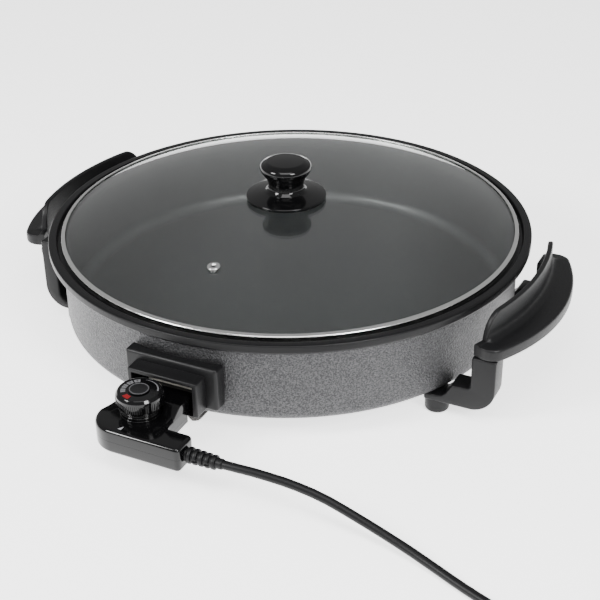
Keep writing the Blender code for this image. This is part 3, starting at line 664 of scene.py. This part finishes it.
def cord_curve():
    points = cord_run() + coil_run()
    points += tail_run(points[-1])
    points.append(PLUG_BASE + Vector((0.0004, 0, 0)))
    curve = bpy.data.curves.new("mains_cord", "CURVE")
    curve.dimensions = "3D"
    curve.bevel_depth = CORD_R
    curve.bevel_resolution = 5
    curve.use_fill_caps = True
    spline = curve.splines.new("POLY")
    spline.points.add(len(points) - 1)
    for place, point in zip(points, spline.points):
        point.co = (place.x, place.y + PAN_Y, place.z, 1)
    spline.use_smooth = True
    curve.materials.append(RUBBER)
    obj = held("mains_cord", curve)
    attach(obj, "thermostat")
    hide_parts("power_cord", "cord_coil", "cord_tail")
    return obj, sum((b - a).length for a, b in zip(points, points[1:]))


def coil_tie():
    """A flat wire tie round the coil, its two ends twisted together on the outside."""
    centre_r = (COIL_TURN_OUT + COIL_TURN_IN) / 2
    half_r, half_z = 0.0083, 0.0078
    middle = 0.0080
    section = fillet(
        [(centre_r - half_r, middle - half_z, 0.003), (centre_r + half_r, middle - half_z, 0.003),
         (centre_r + half_r, middle + half_z, 0.003), (centre_r - half_r, middle + half_z, 0.003)],
        5, closed=True,
    )
    bm = bmesh.new()
    rings = []
    for side, lift in ((-0.0015, 0.0), (0.0015, 0.0), (0.0015, 0.0006), (-0.0015, 0.0006)):
        ring = []
        for r, z in section:
            away = Vector((r - centre_r, z - middle)).normalized() * lift
            ring.append(bm.verts.new((r + away.x, side, max(0.0002, z + away.y))))
        rings.append(ring)
    skin(bm, rings, True, True)
    band = mesh_of(bm, "tie_band")
    twist = []
    for i in range(15):
        share = i / 14
        turn = share * 4 * math.pi
        width, thick = 0.0016 - 0.0006 * share, 0.0006
        x = centre_r + half_r + 0.0003 + 0.009 * share
        side, up = Vector((0, math.cos(turn), math.sin(turn))), Vector((0, -math.sin(turn), math.cos(turn)))
        at = Vector((x, 0, middle - 0.003 * share))
        corners = ((-1, -1), (1, -1), (1, 1), (-1, 1))
        twist.append([at + side * a * width + up * b * thick for a, b in corners])
    mesh = joined("cord_tie", band, loft("tie_twist", twist))
    mesh.transform(Matrix.Translation(COIL_CENTRE) @ Matrix.Rotation(math.radians(-160), 4, "Z"))
    obj = piece("cord_tie", mesh, "thermostat", [RUBBER])
    return obj


def mains_plug():
    """A round two-pin plug, with a ribbed bend guard and finger hollows at its sides."""
    outline = [
        (0, 0, 0), (0.0052, 0, 0.0006), (0.0060, 0.0125, 0.002), (0.0105, 0.0170, 0.003),
        (PLUG_R - 0.0005, 0.0275, 0.004), (PLUG_R, 0.0310, 0.001), (PLUG_R, 0.0340, 0.0005),
        (PLUG_R - 0.0007, 0.0343, 0.0002), (PLUG_R - 0.0007, 0.0350, 0.0002), (PLUG_R, 0.0353, 0.0005),
        (PLUG_R, 0.0460, 0.0016), (0, 0.0460, 0),
    ]
    body = lathe("plug", fillet(outline), 64, PLUG_BASE, (-1, 0, 0))
    hollows = []
    for side in (-1, 1):
        at = PLUG_BASE + Vector((-0.0380, side * (PLUG_R + 0.0095), 0))
        hollows.append(lathe("hollow", [(0, -0.02), (0.0115, -0.02), (0.0115, 0.02), (0, 0.02)], 32, at))
    obj = piece("mains_plug", carve(body, cuts=hollows), "thermostat", [RUBBER], ["plug_body"])
    ribs = lathe("rib", [(0.0056, -0.0006), (0.0066, -0.0006), (0.0066, 0.0006), (0.0056, 0.0006)], 32)
    placed(ribs, (0, 0, 0), (-1, 0, 0))
    mesh = repeated(
        COPIES_IN_A_ROW, ribs, Count=5, Start=PLUG_BASE + Vector((-0.0016, 0, 0)),
        Step=Vector((-0.0023, 0, 0)), Finish=RUBBER,
        **{"Turn each": Vector((0, 0, 0)), "Shrink each": -0.008},
    )
    ribs = piece("plug_guard_ribs", mesh, "thermostat", [RUBBER])
    pins = []
    for side in (-1, 1):
        root = PLUG_BASE + Vector((-0.0460 - GAP, side * 0.0095, 0))
        shape = [(0, 0, 0), (0.0024, 0, 0), (0.0024, 0.0186, 0.0016), (0, 0.0186, 0)]
        pins.append(lathe("pin", fillet(shape, 5), 24, root, (-1, 0, 0)))
    pin = piece("plug_pins", joined("pins", *pins), "thermostat", [STEEL], ["plug_pin_1", "plug_pin_2"])
    return [obj, ribs, pin]


def strain_relief():
    """A tapering sleeve with broken ribs, so that it bends with the cord."""
    start = CASE_RIGHT - 0.0035
    length = CORD_EXIT.x - start
    base = (start, CORD_EXIT.y, CORD_EXIT.z)
    core = [
        (CORD_R + 0.0002, 0, 0), (0.0044, 0, 0), (0.0044, 0.0042, 0), (0.0042, 0.0046, 0.0002),
        (0.0039, length - 0.0010, 0.0006), (CORD_R + 0.0004, length, 0), (CORD_R + 0.0002, length, 0),
    ]
    obj = piece(
        "strain_relief_core", lathe("core", fillet(core), 40, base, (1, 0, 0)), "thermostat", [RUBBER],
        ["strain_relief"],
    )
    half = 0.0016
    rib = [
        (0.0038, -half, 0), (0.0061, -half, 0.0011), (0.0061, half, 0.0011), (0.0038, half, 0),
    ]
    slots = [block("slot", (-0.003, -0.0012, low), (0.003, 0.0012, low + 0.003)) for low in (-0.0079, 0.0049)]
    shape = carve(placed(lathe("rib", fillet(rib), 40), (0, 0, 0), (1, 0, 0)), cuts=slots)
    mesh = repeated(
        COPIES_IN_A_ROW, shape, Count=5, Start=Vector((start + 0.0068, base[1], base[2])),
        Step=Vector((0.00475, 0, 0)), Finish=RUBBER,
        **{"Turn each": Vector((math.pi / 2, 0, 0)), "Shrink each": 0.030},
    )
    ribs = piece("strain_relief_ribs", mesh, "thermostat", [RUBBER])
    return [obj, ribs]


cord_obj, cord_length = cord_curve()
cord_pieces = [coil_tie(), *mains_plug(), *strain_relief()]


# The pan.


def pan():
    """The cast pan: hammered outside, satin black rim and lid ledge, non-stick inside."""
    outside, rim_top, inside, under = range(4)
    runs = [
        ([(0, PAN_BOTTOM)], under),
        ([(0.150, PAN_BOTTOM), (0.1785, PAN_BOTTOM)], under),
        (arc((WALL_R - DRAFT - CORNER_R, PAN_BOTTOM + CORNER_R), CORNER_R, -88, 0, 12), outside),
        ([(WALL_R - 0.0003, 0.050)], outside),
        (fillet([(WALL_R - 0.0003, 0.055, 0), (WALL_R, RIM_TOP - 0.0095, 0.0030),
                 (RIM_R - 0.0060, RIM_TOP - 0.0086, 0)], 5), outside),
        (fillet([(RIM_R - 0.0058, RIM_TOP - 0.0086, 0), (RIM_R - 0.0020, RIM_TOP - 0.0080, 0.0012),
                 (RIM_R, RIM_TOP - 0.0060, 0.0020), (RIM_R, RIM_TOP - 0.0030, 0)], 5), rim_top),
        (fillet([(RIM_R, RIM_TOP - 0.0028, 0), (RIM_R, RIM_TOP, 0.0022), (RIM_R - 0.0066, RIM_TOP, 0.0010),
                 (RIM_R - 0.0074, LEDGE_Z, 0.0008), (WALL_R - 0.0040, LEDGE_Z, 0.0010),
                 (WALL_R - 0.0041, LEDGE_Z - 0.0020, 0)], 6), rim_top),
        ([(WALL_R - DRAFT - WALL_T, 0.060), (WALL_R - DRAFT - WALL_T, 0.034)], inside),
        (arc((WALL_R - DRAFT - WALL_T - 0.010, PAN_FLOOR + 0.010), 0.010, 0, -90, 12), inside),
        ([(0.150, PAN_FLOOR), (0.080, PAN_FLOOR), (0, PAN_FLOOR)], inside),
    ]
    profile, slots = [], []
    for points, slot in runs:
        profile += points
        slots += [slot] * len(points)
    steps = 192
    mesh = lathe("pan_shell", profile, steps, slots=slots[1:])
    piece("pan_shell", mesh, "pan", [HAMMERED, RIM_BLACK, NON_STICK, BARE_CAST], ["pan_body"])
    groove = TUBE_R + 0.0008
    low = PAN_BOTTOM - 0.006
    lead = math.asin((PIN_X + TUBE_R + 0.007) / RING_R)
    span = (-math.pi / 2 + lead, 1.5 * math.pi - lead)
    ribs = []
    for near, far in ((RING_R - groove - 0.003, RING_R - groove), (RING_R + groove, RING_R + groove + 0.003)):
        shape = [(near, PAN_BOTTOM + 0.0004, 0), (near + 0.0002, low, 0.0010), (far - 0.0002, low, 0.0010)]
        shape.append((far, PAN_BOTTOM + 0.0004, 0))
        ribs.append(lathe("rib", fillet(shape), steps, span=span))
    obj = piece("element_ribs", joined("element_ribs", *ribs), "pan", [BARE_CAST])


# The socket on the front.


def socket():
    back = WALL_R + GAP + 0.0002
    half = SOCKET_W / 2
    side = math.degrees(math.asin(half / back))
    wall = arc((0, 0), back, -90 + side, -90 - side, 24)
    base = prism("socket", [(-half, SOCKET_FACE), (half, SOCKET_FACE), *wall], SOCKET_LOW, SOCKET_TOP)
    low = (-SHROUD_W / 2, SHROUD_FACE, SHROUD_LOW + 0.002)
    shroud = carve(block("shroud", low, (SHROUD_W / 2, SOCKET_FACE + 0.004, SHROUD_TOP)), 0.0014, 3)
    low = (-MOUTH_W / 2, SHROUD_FACE - 0.01, MOUTH_LOW)
    mouth = block("mouth", low, (MOUTH_W / 2, SOCKET_FACE + 0.0015, MOUTH_TOP))
    low = (-PIN_X - 0.0065, SOCKET_FACE, SOCKET_LOW - 0.01)
    room = block("lead_room", low, (PIN_X + 0.0065, -WALL_R + 0.02, PIN_Z + 0.011))
    mesh = carve(base, 0.0032, 5, joins=[shroud], cuts=[mouth, room], angle=60)
    piece("socket", mesh, "pan", [MOULDED], ["socket_housing"])


# The grips and legs.


def grip_section(angle):
    """The grip's outline at an angle from its middle: a flange with a guard at its inner edge."""
    centre = FLANGE_R - FLANGE_ARC_R
    outer = centre * math.cos(angle)
    outer += math.sqrt(FLANGE_ARC_R**2 - (centre * math.sin(angle)) ** 2)
    into_end = min(1.0, max(0.0, 1 - (GRIP_HALF - abs(angle)) * GRIP_R / 0.009))
    outer -= 0.010 * (1 - math.sqrt(1 - into_end**2))
    into_top = min(1.0, max(0.0, 1 - (GUARD_HALF - abs(angle)) * GRIP_R / 0.016))
    stump = FLANGE_TOP + 0.0006
    top = stump + (GUARD_TOP - stump) * math.sqrt(1 - into_top**2)
    low = FLANGE_TOP - FLANGE_T + 0.0008 * into_end
    high = FLANGE_TOP - 0.0006 * into_end
    guard = GRIP_R + GUARD_T
    corners = [
        (GRIP_R, low, 0.0012),
        (outer, low, 0.0022),
        (outer, high, 0.0026),
        (guard + 0.0002, high, min(0.0065, (top - high) * 0.9)),
        (guard, top, 0.0016),
        (GRIP_R, top, 0.0016),
    ]
    return fillet(corners, 5, closed=True)


def grip(side, where):
    bends = [0.0]
    bends += [0.06 * i for i in range(1, 13)]
    bends += [0.75, 0.78, 0.81, 0.835, 0.86, 0.88, 0.90, 0.92, 0.94, 0.955, 0.97, 0.98, 0.99, 0.996, 1.0]
    angles = [-GRIP_HALF * b for b in bends[:0:-1]] + [GRIP_HALF * b for b in bends]
    sections = []
    for angle in angles:
        turn = (side * math.cos(angle + side * GRIP_TURN), math.sin(angle + side * GRIP_TURN))
        sections.append([(r * turn[0], r * turn[1], z) for r, z in grip_section(angle)])
    piece(f"handle_{where}", loft("handle", sections), "pan", [MOULDED], [f"grip_{where}"])


def leg(name, side, end, span):
    """An L in side view: down from the grip, round an elbow and in under the pan to its foot."""
    inner, outer = span
    tucked_in = inner < WALL_R
    under_flange = FLANGE_TOP - FLANGE_T - 0.0001
    top = LEG_TOP_IN if tucked_in else under_flange
    elbow = arc((outer - ELBOW_R, ARM_Z + ELBOW_R), ELBOW_R, 0, -90, 16)
    under = PAN_BOTTOM - 0.0004
    tuck = [(FOOT_X - 0.008, ARM_Z), (FOOT_X - 0.008, under), (0.1655, under), (0.1712, under + 0.0008)]
    shelf = [(0.1742, 0.0206), (0.1790, ARM_TOP), (inner - 0.002, ARM_TOP), (inner, ARM_TOP + 0.002)]
    if tucked_in:
        shelf = [(0.1742, 0.0206), (inner, 0.0240)]
    outline = [(side * x, z) for x, z in [(outer, top), *elbow, *tuck, *shelf, (inner, top)]]
    middle = end * LEG_Y
    bar = prism(name, outline, middle - LEG_W / 2, middle + LEG_W / 2, along="Y")
    profile = [(0, 0, 0), (FOOT_R, 0, 0.0026), (FOOT_R, under, 0), (0, under, 0)]
    at = (side * FOOT_X, middle, 0)
    foot = lathe("foot", fillet(profile, 6), 48, at)
    bore = lathe("bore", [(0, -0.001), (0.0044, -0.001), (0.0044, 0.009), (0, 0.009)], 32, at)
    joins = [foot]
    if tucked_in:
        pad_y = sorted((end * (LEG_Y - 0.005), end * (LEG_Y - LEG_W / 2 + 0.001)))
        pad_x = sorted((side * (outer - 0.004), side * (outer + 0.012)))
        low = (pad_x[0], pad_y[0], under_flange - 0.006)
        pad = block("pad", low, (pad_x[1], pad_y[1], under_flange - 0.0001))
        joins.append(carve(pad, 0.001, 2))
    mesh = carve(bar, 0.0017, 3, joins=joins, cuts=[bore], angle=40)
    piece(f"support_{name}", mesh, "pan", [MOULDED], [f"leg_{name}"])


def pan_head(radius, head_radius, length):
    """A screw standing on its head, with a cross recess."""
    tall = head_radius * 0.55
    shape = [(0, 0, 0), (head_radius * 0.80, 0, 0.0004), (head_radius, tall * 0.6, 0.0004)]
    shape += [(head_radius, tall, 0), (radius, tall, 0), (radius, length - radius, 0), (0, length, 0)]
    arm, wide, deep = head_radius * 0.55, head_radius * 0.14, tall * 0.5
    cuts = [
        block("slot", (-arm, -wide, -0.001), (arm, wide, deep)),
        block("slot", (-wide, -arm, -0.001), (wide, arm, deep)),
    ]
    return carve(lathe("screw", fillet(shape), 32), cuts=cuts)


def screws():
    """All the screws that show: under the feet, in the socket, under the case and under the lid."""
    mesh = repeated(
        COPIES_AT_CORNERS, pan_head(0.0018, 0.0040, 0.0120 - 0.0045), Across=2 * FOOT_X, Along=2 * LEG_Y,
        Finish=SCREW,
    )
    mesh.transform(Matrix.Translation((0, 0, 0.0045)))
    names = [f"foot_screw_{a}_{b}" for a in ("left", "right") for b in ("front", "rear")]
    piece("foot_screws", mesh, "pan", [SCREW], names)
    in_socket = placed(pan_head(0.0012, 0.0026, 0.0030), (0, 0, 0), (0, 1, 0))
    reach = MOUTH_W / 2 - 0.0032
    mesh = repeated(
        COPIES_IN_A_ROW, in_socket, Count=2,
        Start=Vector((-reach, SOCKET_FACE - 0.0016, MOUTH_TOP - 0.0042)), Step=Vector((2 * reach, 0, 0)),
        Finish=SCREW, **{"Turn each": Vector((0, 0.6, 0)), "Shrink each": 0.0},
    )
    piece("socket_screws", mesh, "pan", [SCREW], ["socket_screw_left", "socket_screw_right"])
    first, second = Vector((0.018, -0.2530, 0)), Vector((-0.020, -0.2420, 0))
    mesh = repeated(
        COPIES_IN_A_ROW, pan_head(0.0008, 0.0024, 0.0014), Count=2,
        Start=first + Vector((0, 0, CASE_LOW - 0.0016)), Step=second - first,
        Finish=SCREW, **{"Turn each": Vector((0, 0, 0.7)), "Shrink each": 0.0},
    )
    piece("case_screws", mesh, "thermostat", [SCREW], ["case_screw_1", "case_screw_2"])
    under = glass_top(0) - GLASS_T
    mesh = placed(pan_head(0.0022, 0.0052, 0.0285), (*KNOB_AT, under - 0.0050))
    piece("lid_screw", mesh, "lid", [SCREW], ["knob_screw"])


# The lid.


def glass_top(radius):
    """Height of the glass's upper face: nearly flat in the middle and steeper towards the edge."""
    share = radius / GLASS_R
    return BAND_Z + 0.0009 + GLASS_T + DOME_RISE * (1 - 0.55 * share**2 - 0.45 * share**5)


def lid():
    radii = [0.0064, 0.0068] + [0.0068 + (GLASS_R - 0.0068) * (i / 40) for i in range(1, 41)]
    above = [(r, glass_top(r)) for r in radii]
    below = [(r, glass_top(r) - GLASS_T) for r in radii[::-1]]
    lean = (0, -0.12, 1)
    vent_z = glass_top(math.hypot(*VENT))
    drill = [(0, -0.008), (0.0038, -0.008), (0.0038, 0.008), (0, 0.008)]
    hole = lathe("hole", drill, 32, (*VENT, vent_z), lean)
    glass = carve(lathe("glass", above + below, 180), cuts=[hole])
    piece("dome_glass", glass, "lid", [GLASS], ["lid_glass"], sharp=30)
    low, high = BAND_Z, glass_top(GLASS_R) + 0.0008
    inset = GLASS_R - 0.0022
    channel = [
        (inset, low, 0.0003),
        (BAND_R, low, 0.0006),
        (BAND_R, high + 0.0003, 0.0011),
        (inset, glass_top(inset) + 0.0012, 0.0004),
        (inset, glass_top(inset) + 0.0004, 0.0002),
        (GLASS_R + 0.0003, glass_top(GLASS_R) + 0.0003, 0),
        (GLASS_R + 0.0003, low + 0.0006, 0),
        (inset, low + 0.0006, 0.0002),
    ]
    band = lathe("band", fillet(channel, 4, closed=True), 192)
    piece("edge_band", band, "lid", [STEEL], ["lid_band"])
    eyelet = [
        (0.0018, -0.0050, 0.0002), (0.0034, -0.0050, 0.0002), (0.0034, 0.0004, 0), (0.0052, 0.0004, 0.0002),
        (0.0048, 0.0014, 0.0007), (0.0026, 0.0015, 0.0005), (0.0018, 0.0008, 0.0003),
    ]
    mesh = lathe("eyelet", fillet(eyelet, 4, closed=True), 40, (*VENT, vent_z), lean)
    piece("steam_eyelet", mesh, "lid", [STEEL], ["vent_eyelet"])


def knob():
    """A flared skirt and a rounded head, both turned and polished."""
    base = (*KNOB_AT, glass_top(0) + GAP)
    steps = 112
    skirt = [
        (0.0035, 0.0006, 0), (SKIRT_R - 0.0030, 0, 0), (SKIRT_R, 0.0006, 0.0006), (SKIRT_R, 0.0028, 0.0009),
        (0.0262, 0.0044, 0.006), (0.0172, 0.0062, 0.004), (0.0146, 0.0095, 0.003), (0.0147, 0.0135, 0.001),
        (0.0152, 0.0152, 0), (0.0035, 0.0152, 0),
    ]
    piece("knob_foot", lathe("skirt", fillet(skirt, 6), steps, base), "lid", [GLOSS], ["knob_skirt"])
    foot = 0.0155
    head = [
        (0, foot + 0.0100, 0), (0.0028, foot + 0.0100, 0), (0.0028, foot, 0), (0.0153, foot, 0.0004),
        (0.0168, foot + 0.0030, 0.004), (0.0204, foot + 0.0080, 0.002), (KNOB_R, foot + 0.0105, 0.0022),
        (0.0207, foot + 0.0140, 0.004), (0.0155, foot + 0.0166, 0.006), (0, foot + 0.0176, 0),
    ]
    piece("knob_cap", lathe("head", fillet(head, 8), steps, base), "lid", [GLOSS], ["knob_head"])


# The thermostat.


def case_outline(inset=0.0, neck_end=SHROUD_FACE - 0.0013):
    """The case in plan: an L with one large rounded corner under the dial."""
    left, right = CASE_LEFT + inset, CASE_RIGHT - inset
    front, rear = CASE_FRONT + inset, CASE_REAR - inset
    neck = NECK_HALF - inset
    small = max(0.0012, 0.0042 - inset)
    corners = [
        (left, front, 0),
        (right, front, small),
        (right, rear, small),
        (neck, rear, 0.0042),
        (neck, neck_end, 0),
        (-neck, neck_end, 0),
        (-neck, -0.2178, 0.002),
        (-neck - 0.0055, -0.2226, 0.003),
        (left + 0.0040, -0.2278, 0.003),
        (left + 0.0023, -0.2350, 0.003),
    ]
    big = 0.0215 - inset
    corner = arc((left + big, front + big), big, 180, 270, 20)
    return corner + fillet(corners, 6, closed=True)[1:]


def layered(name, levels, neck_end=SHROUD_FACE - 0.0013):
    """The case's outline stacked up in levels of (height, inset)."""
    sections = []
    for height, inset in levels:
        sections.append([(x, y, height) for x, y in case_outline(inset, neck_end)])
    return loft(name, sections)


def quarter(start, radius, way, steps=6):
    """Levels for a rounded edge: heights from start going way, insets up to radius."""
    levels = []
    for i in range(steps + 1):
        a = math.pi / 2 * i / steps
        levels.append((start + way * radius * math.sin(a), radius * (1 - math.cos(a))))
    return levels


def case():
    seam = CASE_SPLIT + GAP
    edge = 0.0030
    levels = quarter(CASE_LOW + edge, edge, -1)[::-1]
    lower = layered("lower", levels + [(seam - 0.00012, 0)])
    exit_at = (CASE_RIGHT, CORD_EXIT.y, CORD_EXIT.z)
    hole = [(0, -0.01), (0.0049, -0.01), (0.0049, 0.01), (0, 0.01)]
    cuts = [
        block("neck_step", (-0.06, -0.2280, 0.0), (0.06, -0.19, CASE_LOW + 0.006)),
        prism("room", case_outline(CASE_WALL, -0.2165), CASE_LOW + 0.0080, CASE_SPLIT + 0.01),
        prism("room", case_outline(CASE_WALL, -0.2305), CASE_LOW + CASE_WALL, CASE_SPLIT),
        lathe("cord_hole", hole, 32, exit_at, (1, 0, 0)),
    ]
    piece("case_base", carve(lower, cuts=cuts), "thermostat", [GLOSS], ["case_lower"])
    edge = 0.0028
    upper = layered("upper", [(seam, 0)] + quarter(CASE_TOP - edge, edge, 1))
    mouth = SHROUD_FACE - 0.0013
    slope = fillet(
        [(NOSE_END, NOSE_TOP, 0.0008), (-0.2225, NOSE_TOP, 0.004), (-0.2330, CASE_TOP - 0.001, 0),
         (-0.2330, seam + 0.0002, 0), (mouth, seam + 0.0002, 0), (mouth, NOSE_LOW, 0),
         (NOSE_END, NOSE_LOW, 0.0005)],
        5, closed=True,
    )
    neck = carve(prism("neck", slope, -NECK_HALF, NECK_HALF, along="X"), 0.0022, 4, angle=55)
    clear = COLLAR_R + 0.0008
    recess = [(0, CASE_TOP), (clear, CASE_TOP), (clear, DIAL_LOW), (0, DIAL_LOW)]
    nose_half = NECK_HALF - CASE_WALL
    low = (-nose_half, -0.2172, NOSE_LOW + 0.0018)
    bore = SPINDLE_R + 0.0006
    cuts = [
        lathe("recess", recess, 64, (DIAL_X, DIAL_Y, 0)),
        prism("room", case_outline(CASE_WALL, -0.2165), CASE_SPLIT - 0.01, CASE_TOP - CASE_WALL),
        block("nose_room", low, (nose_half, NOSE_END + 0.01, NOSE_TOP - CASE_WALL)),
        lathe(
            "spindle_hole", [(0, -0.02), (bore, -0.02), (bore, 0.02), (0, 0.02)], 32,
            (DIAL_X, DIAL_Y, CASE_TOP),
        ),
        lathe("cord_hole", hole, 32, exit_at, (1, 0, 0)),
    ]
    upper = carve(upper, joins=[neck], cuts=cuts)
    piece("case_cover", upper, "thermostat", [GLOSS], ["case_upper"], sharp=32)
    mark = [(-0.0088, -0.2585), (-0.0060, -0.2585), (-0.0060, -0.2545)]
    mesh = prism("mark", mark, CASE_TOP - 0.0002, CASE_TOP + 0.0001)
    piece("pointer_mark", mesh, "thermostat", [PRINT_WHITE])


def dial():
    ring = CASE_TOP + GAP
    collar = [(SPINDLE_R + 0.0008, ring, 0), (COLLAR_R, ring, 0.0003), (COLLAR_R, ring + 0.0010, 0.0004)]
    for step in range(2):
        low = ring + 0.0010 + step * 0.0022
        collar += [(0.0131, low, 0.0003), (0.0131, low + 0.0006, 0.0003), (0.0141, low + 0.0007, 0.0004)]
        collar += [(0.0141, low + 0.0015, 0.0004)]
    collar += [(0.0128, ring + 0.0056, 0.0002), (SPINDLE_R + 0.0008, ring + 0.0056, 0)]
    at = (DIAL_X, DIAL_Y, 0)
    mesh = lathe("collar", fillet(collar, 4, closed=True), 64, at)
    piece("dial_rings", mesh, "thermostat", [GLOSS], ["dial_collar"])
    bore = SPINDLE_R + 0.0003
    body = [
        (bore, DIAL_LOW, 0), (0.0150, DIAL_LOW, 0.0006), (DIAL_R - 0.0006, DIAL_LOW + 0.0022, 0.001),
        (DIAL_R - 0.0002, DIAL_TOP - 0.0044, 0.0004), (DIAL_R - 0.0002, DIAL_TOP - 0.0022, 0.0008),
        (DIAL_R - 0.0018, DIAL_TOP, 0.0010), (0.0152, DIAL_TOP, 0.0003), (0.0150, DIAL_TOP - 0.0004, 0.0002),
        (0, DIAL_TOP - 0.0003, 0), (0, DIAL_TOP - 0.0035, 0), (bore, DIAL_TOP - 0.0035, 0),
    ]
    mesh = lathe("dial", fillet(body[:8], 5) + [(r, z) for r, z, _ in body[8:]], 96, at)
    piece("dial_cap", mesh, "dial", [GLOSS], ["dial_knob"])
    section = [(-0.00022, -0.0004), (0.00022, -0.0004), (0.0001, 0.00032), (-0.0001, 0.00032)]
    ridge = prism("ridge", section, 0, 0.0058)
    first = Matrix.Translation((DIAL_R - 0.0002, 0, DIAL_LOW + 0.0026))
    ridge.transform(first @ Matrix.Rotation(-math.pi / 2, 4, "Z"))
    ridges = 72
    mesh = repeated(
        COPIES_ROUND, ridge, Count=ridges, Finish=GLOSS,
        **{"First angle": 0.0, "Angle step": 2 * math.pi / ridges},
    )
    mesh.transform(Matrix.Translation(at))
    piece("dial_ridges", mesh, "dial", [GLOSS])


def flat_ring(inner, outer, start, end, steps=24, taper=0.0):
    """A band between two radii and two angles in degrees, its outer edge drawn in towards one end."""
    out = arc((0, 0), outer, start, end, steps)
    edge = []
    for i, (x, y) in enumerate(out):
        pull = 1 - taper * i / steps
        edge.append((x * pull, y * pull))
    return edge + arc((0, 0), inner, end, start, steps)


def letters(text, size):
    """Flat lettering as a mesh, centred."""
    curve = bpy.data.curves.new("letters", "FONT")
    curve.body = text
    curve.size = size
    curve.align_x = "CENTER"
    curve.align_y = "CENTER"
    curve.extrude = 0.00005
    curve.resolution_u = 3
    return settled(held("letters", curve))


def dial_print():
    """The dial's markings: cells with the settings, the off mark, a sweep that tapers and a centre ring."""
    face = DIAL_TOP - 0.0003
    top = DIAL_TOP + GAP
    at = Vector((DIAL_X, DIAL_Y, 0))
    outline = [(0, 0, 0), (0.0076, 0, 0), (0.0077, 0.0003, 0.0002), (0, 0.0004, 0)]
    badge = lathe("badge", fillet(outline, 5), 48)
    piece("dial_centre", placed(badge, at + Vector((0, 0, top))), "dial", [DIAL_BLACK], ["dial_badge"])
    line = flat_ring(0.0066, 0.0070, 0, 359.9, 72)
    ring = prism("ring", line, 0.00030, 0.00046)
    piece("dial_ring", placed(ring, at + Vector((0, 0, top))), "dial", [PRINT_GREY])
    cells, numbers = [], []
    for i, text in enumerate(("4", "3", "2", "1")):
        middle = 128 + 27 * i
        cells.append(prism("cell", flat_ring(0.0098, 0.0132, middle - 11, middle + 11, 8), 0, 0.00012))
        mesh = letters(text, 0.0034)
        mesh.transform(Matrix.Rotation(math.radians(middle - 90), 4, "Z"))
        a = math.radians(middle)
        mesh.transform(Matrix.Translation((0.0115 * math.cos(a), 0.0115 * math.sin(a), 0.00012)))
        numbers.append(mesh)
    mesh = placed(joined("cells", *cells), at + Vector((0, 0, face)))
    piece("dial_cells", mesh, "dial", [PRINT_GREY])
    mesh = placed(joined("numbers", *numbers), at + Vector((0, 0, face)))
    piece("dial_numbers", mesh, "dial", [DIAL_BLACK])
    off = prism("off", flat_ring(0.0095, 0.0135, 240, 266, 8), 0, 0.00012)
    piece("dial_off_mark", placed(off, at + Vector((0, 0, face))), "dial", [PRINT_RED])
    sweep = prism("sweep", flat_ring(0.0129, 0.0142, 18, 98, 32, taper=0.08), 0, 0.00012)
    piece("dial_sweep", placed(sweep, at + Vector((0, 0, face))), "dial", [PRINT_GREY])


pan()
socket()
for side_of, where_of in ((-1, "left"), (1, "right")):
    grip(side_of, where_of)
    for end_of, place_of in ((-1, "front"), (1, "rear")):
        leg(f"{where_of}_{place_of}", side_of, end_of, LEG_SPANS[where_of])
lid()
knob()
screws()
case()
dial()
dial_print()


# Finishes for the solids that stay.

KEPT = {
    # The heating element is partly painted shade: darkened so its lead under the socket sinks into the shadow
    # there.
    "heating_element": HEATER_SHADE_DARK,
    "element_clip_1": SCREW,
    "element_clip_2": SCREW,
    "element_clip_3": SCREW,
    "terminal_pin_left": STEEL,
    "terminal_pin_right": STEEL,
    "terminal_plate": CERAMIC,
    "sensor_sleeve": BRASS,
    # The earth strip is painted dark as shade, for the shade inside the socket's mouth.
    "earth_strip": STRIP_SHADE_DARK,
    "knob_washer": RUBBER,
    "receptacle_left": BRASS,
    "receptacle_right": BRASS,
    "probe_rod": STEEL,
    "switch_block": CERAMIC,
    "bimetal_strip": BRASS,
    "contact_arm": BRASS,
    "cord_clamp": MOULDED,
    "dial_spindle": STEEL,
}
for node_name, made_of in KEPT.items():
    for material_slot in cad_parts[node_name].material_slots:
        material_slot.material = made_of


# The studio.


def studio():
    floor_finish = finish("studio_white", (0.93, 0.93, 0.93), 0.60, 0.0, mirror=0.2)
    glow = floor_finish.node_tree.nodes["Principled BSDF"]
    glow.inputs["Emission Color"].default_value = (1, 1, 1, 1)
    glow.inputs["Emission Strength"].default_value = 1.8
    bm = bmesh.new()
    corners = ((-6, -6), (6, -6), (6, 6), (-6, 6))
    bm.faces.new([bm.verts.new((x, y, -0.0002)) for x, y in corners])
    floor = held("studio_floor", mesh_of(bm, "studio_floor"))
    floor.data.materials.append(floor_finish)
    world = bpy.data.worlds.new("studio")
    bpy.context.scene.world = world
    world.use_nodes = True
    world.node_tree.nodes["Background"].inputs["Color"].default_value = (1, 1, 1, 1)
    world.node_tree.nodes["Background"].inputs["Strength"].default_value = 0.45
    lamps = (
        ("left", (-0.95, -1.25, 1.15), 0.55, 0.55, 40.0),
        ("right", (1.25, -0.75, 1.15), 0.50, 0.50, 30.0),
        ("overhead", (0.45, -1.0, 2.2), 1.6, 1.6, 45.0),
    )
    for name, place, wide, tall, power in lamps:
        data = bpy.data.lights.new(name, "AREA")
        data.shape = "RECTANGLE"
        data.size = wide
        data.size_y = tall
        data.energy = power
        lamp = bpy.data.objects.new(name, data)
        bpy.context.scene.collection.objects.link(lamp)
        lamp.location = place
        lamp.rotation_mode = "QUATERNION"
        lamp.rotation_quaternion = (Vector((0, 0, 0.05)) - Vector(place)).to_track_quat("-Z", "Y")


studio()
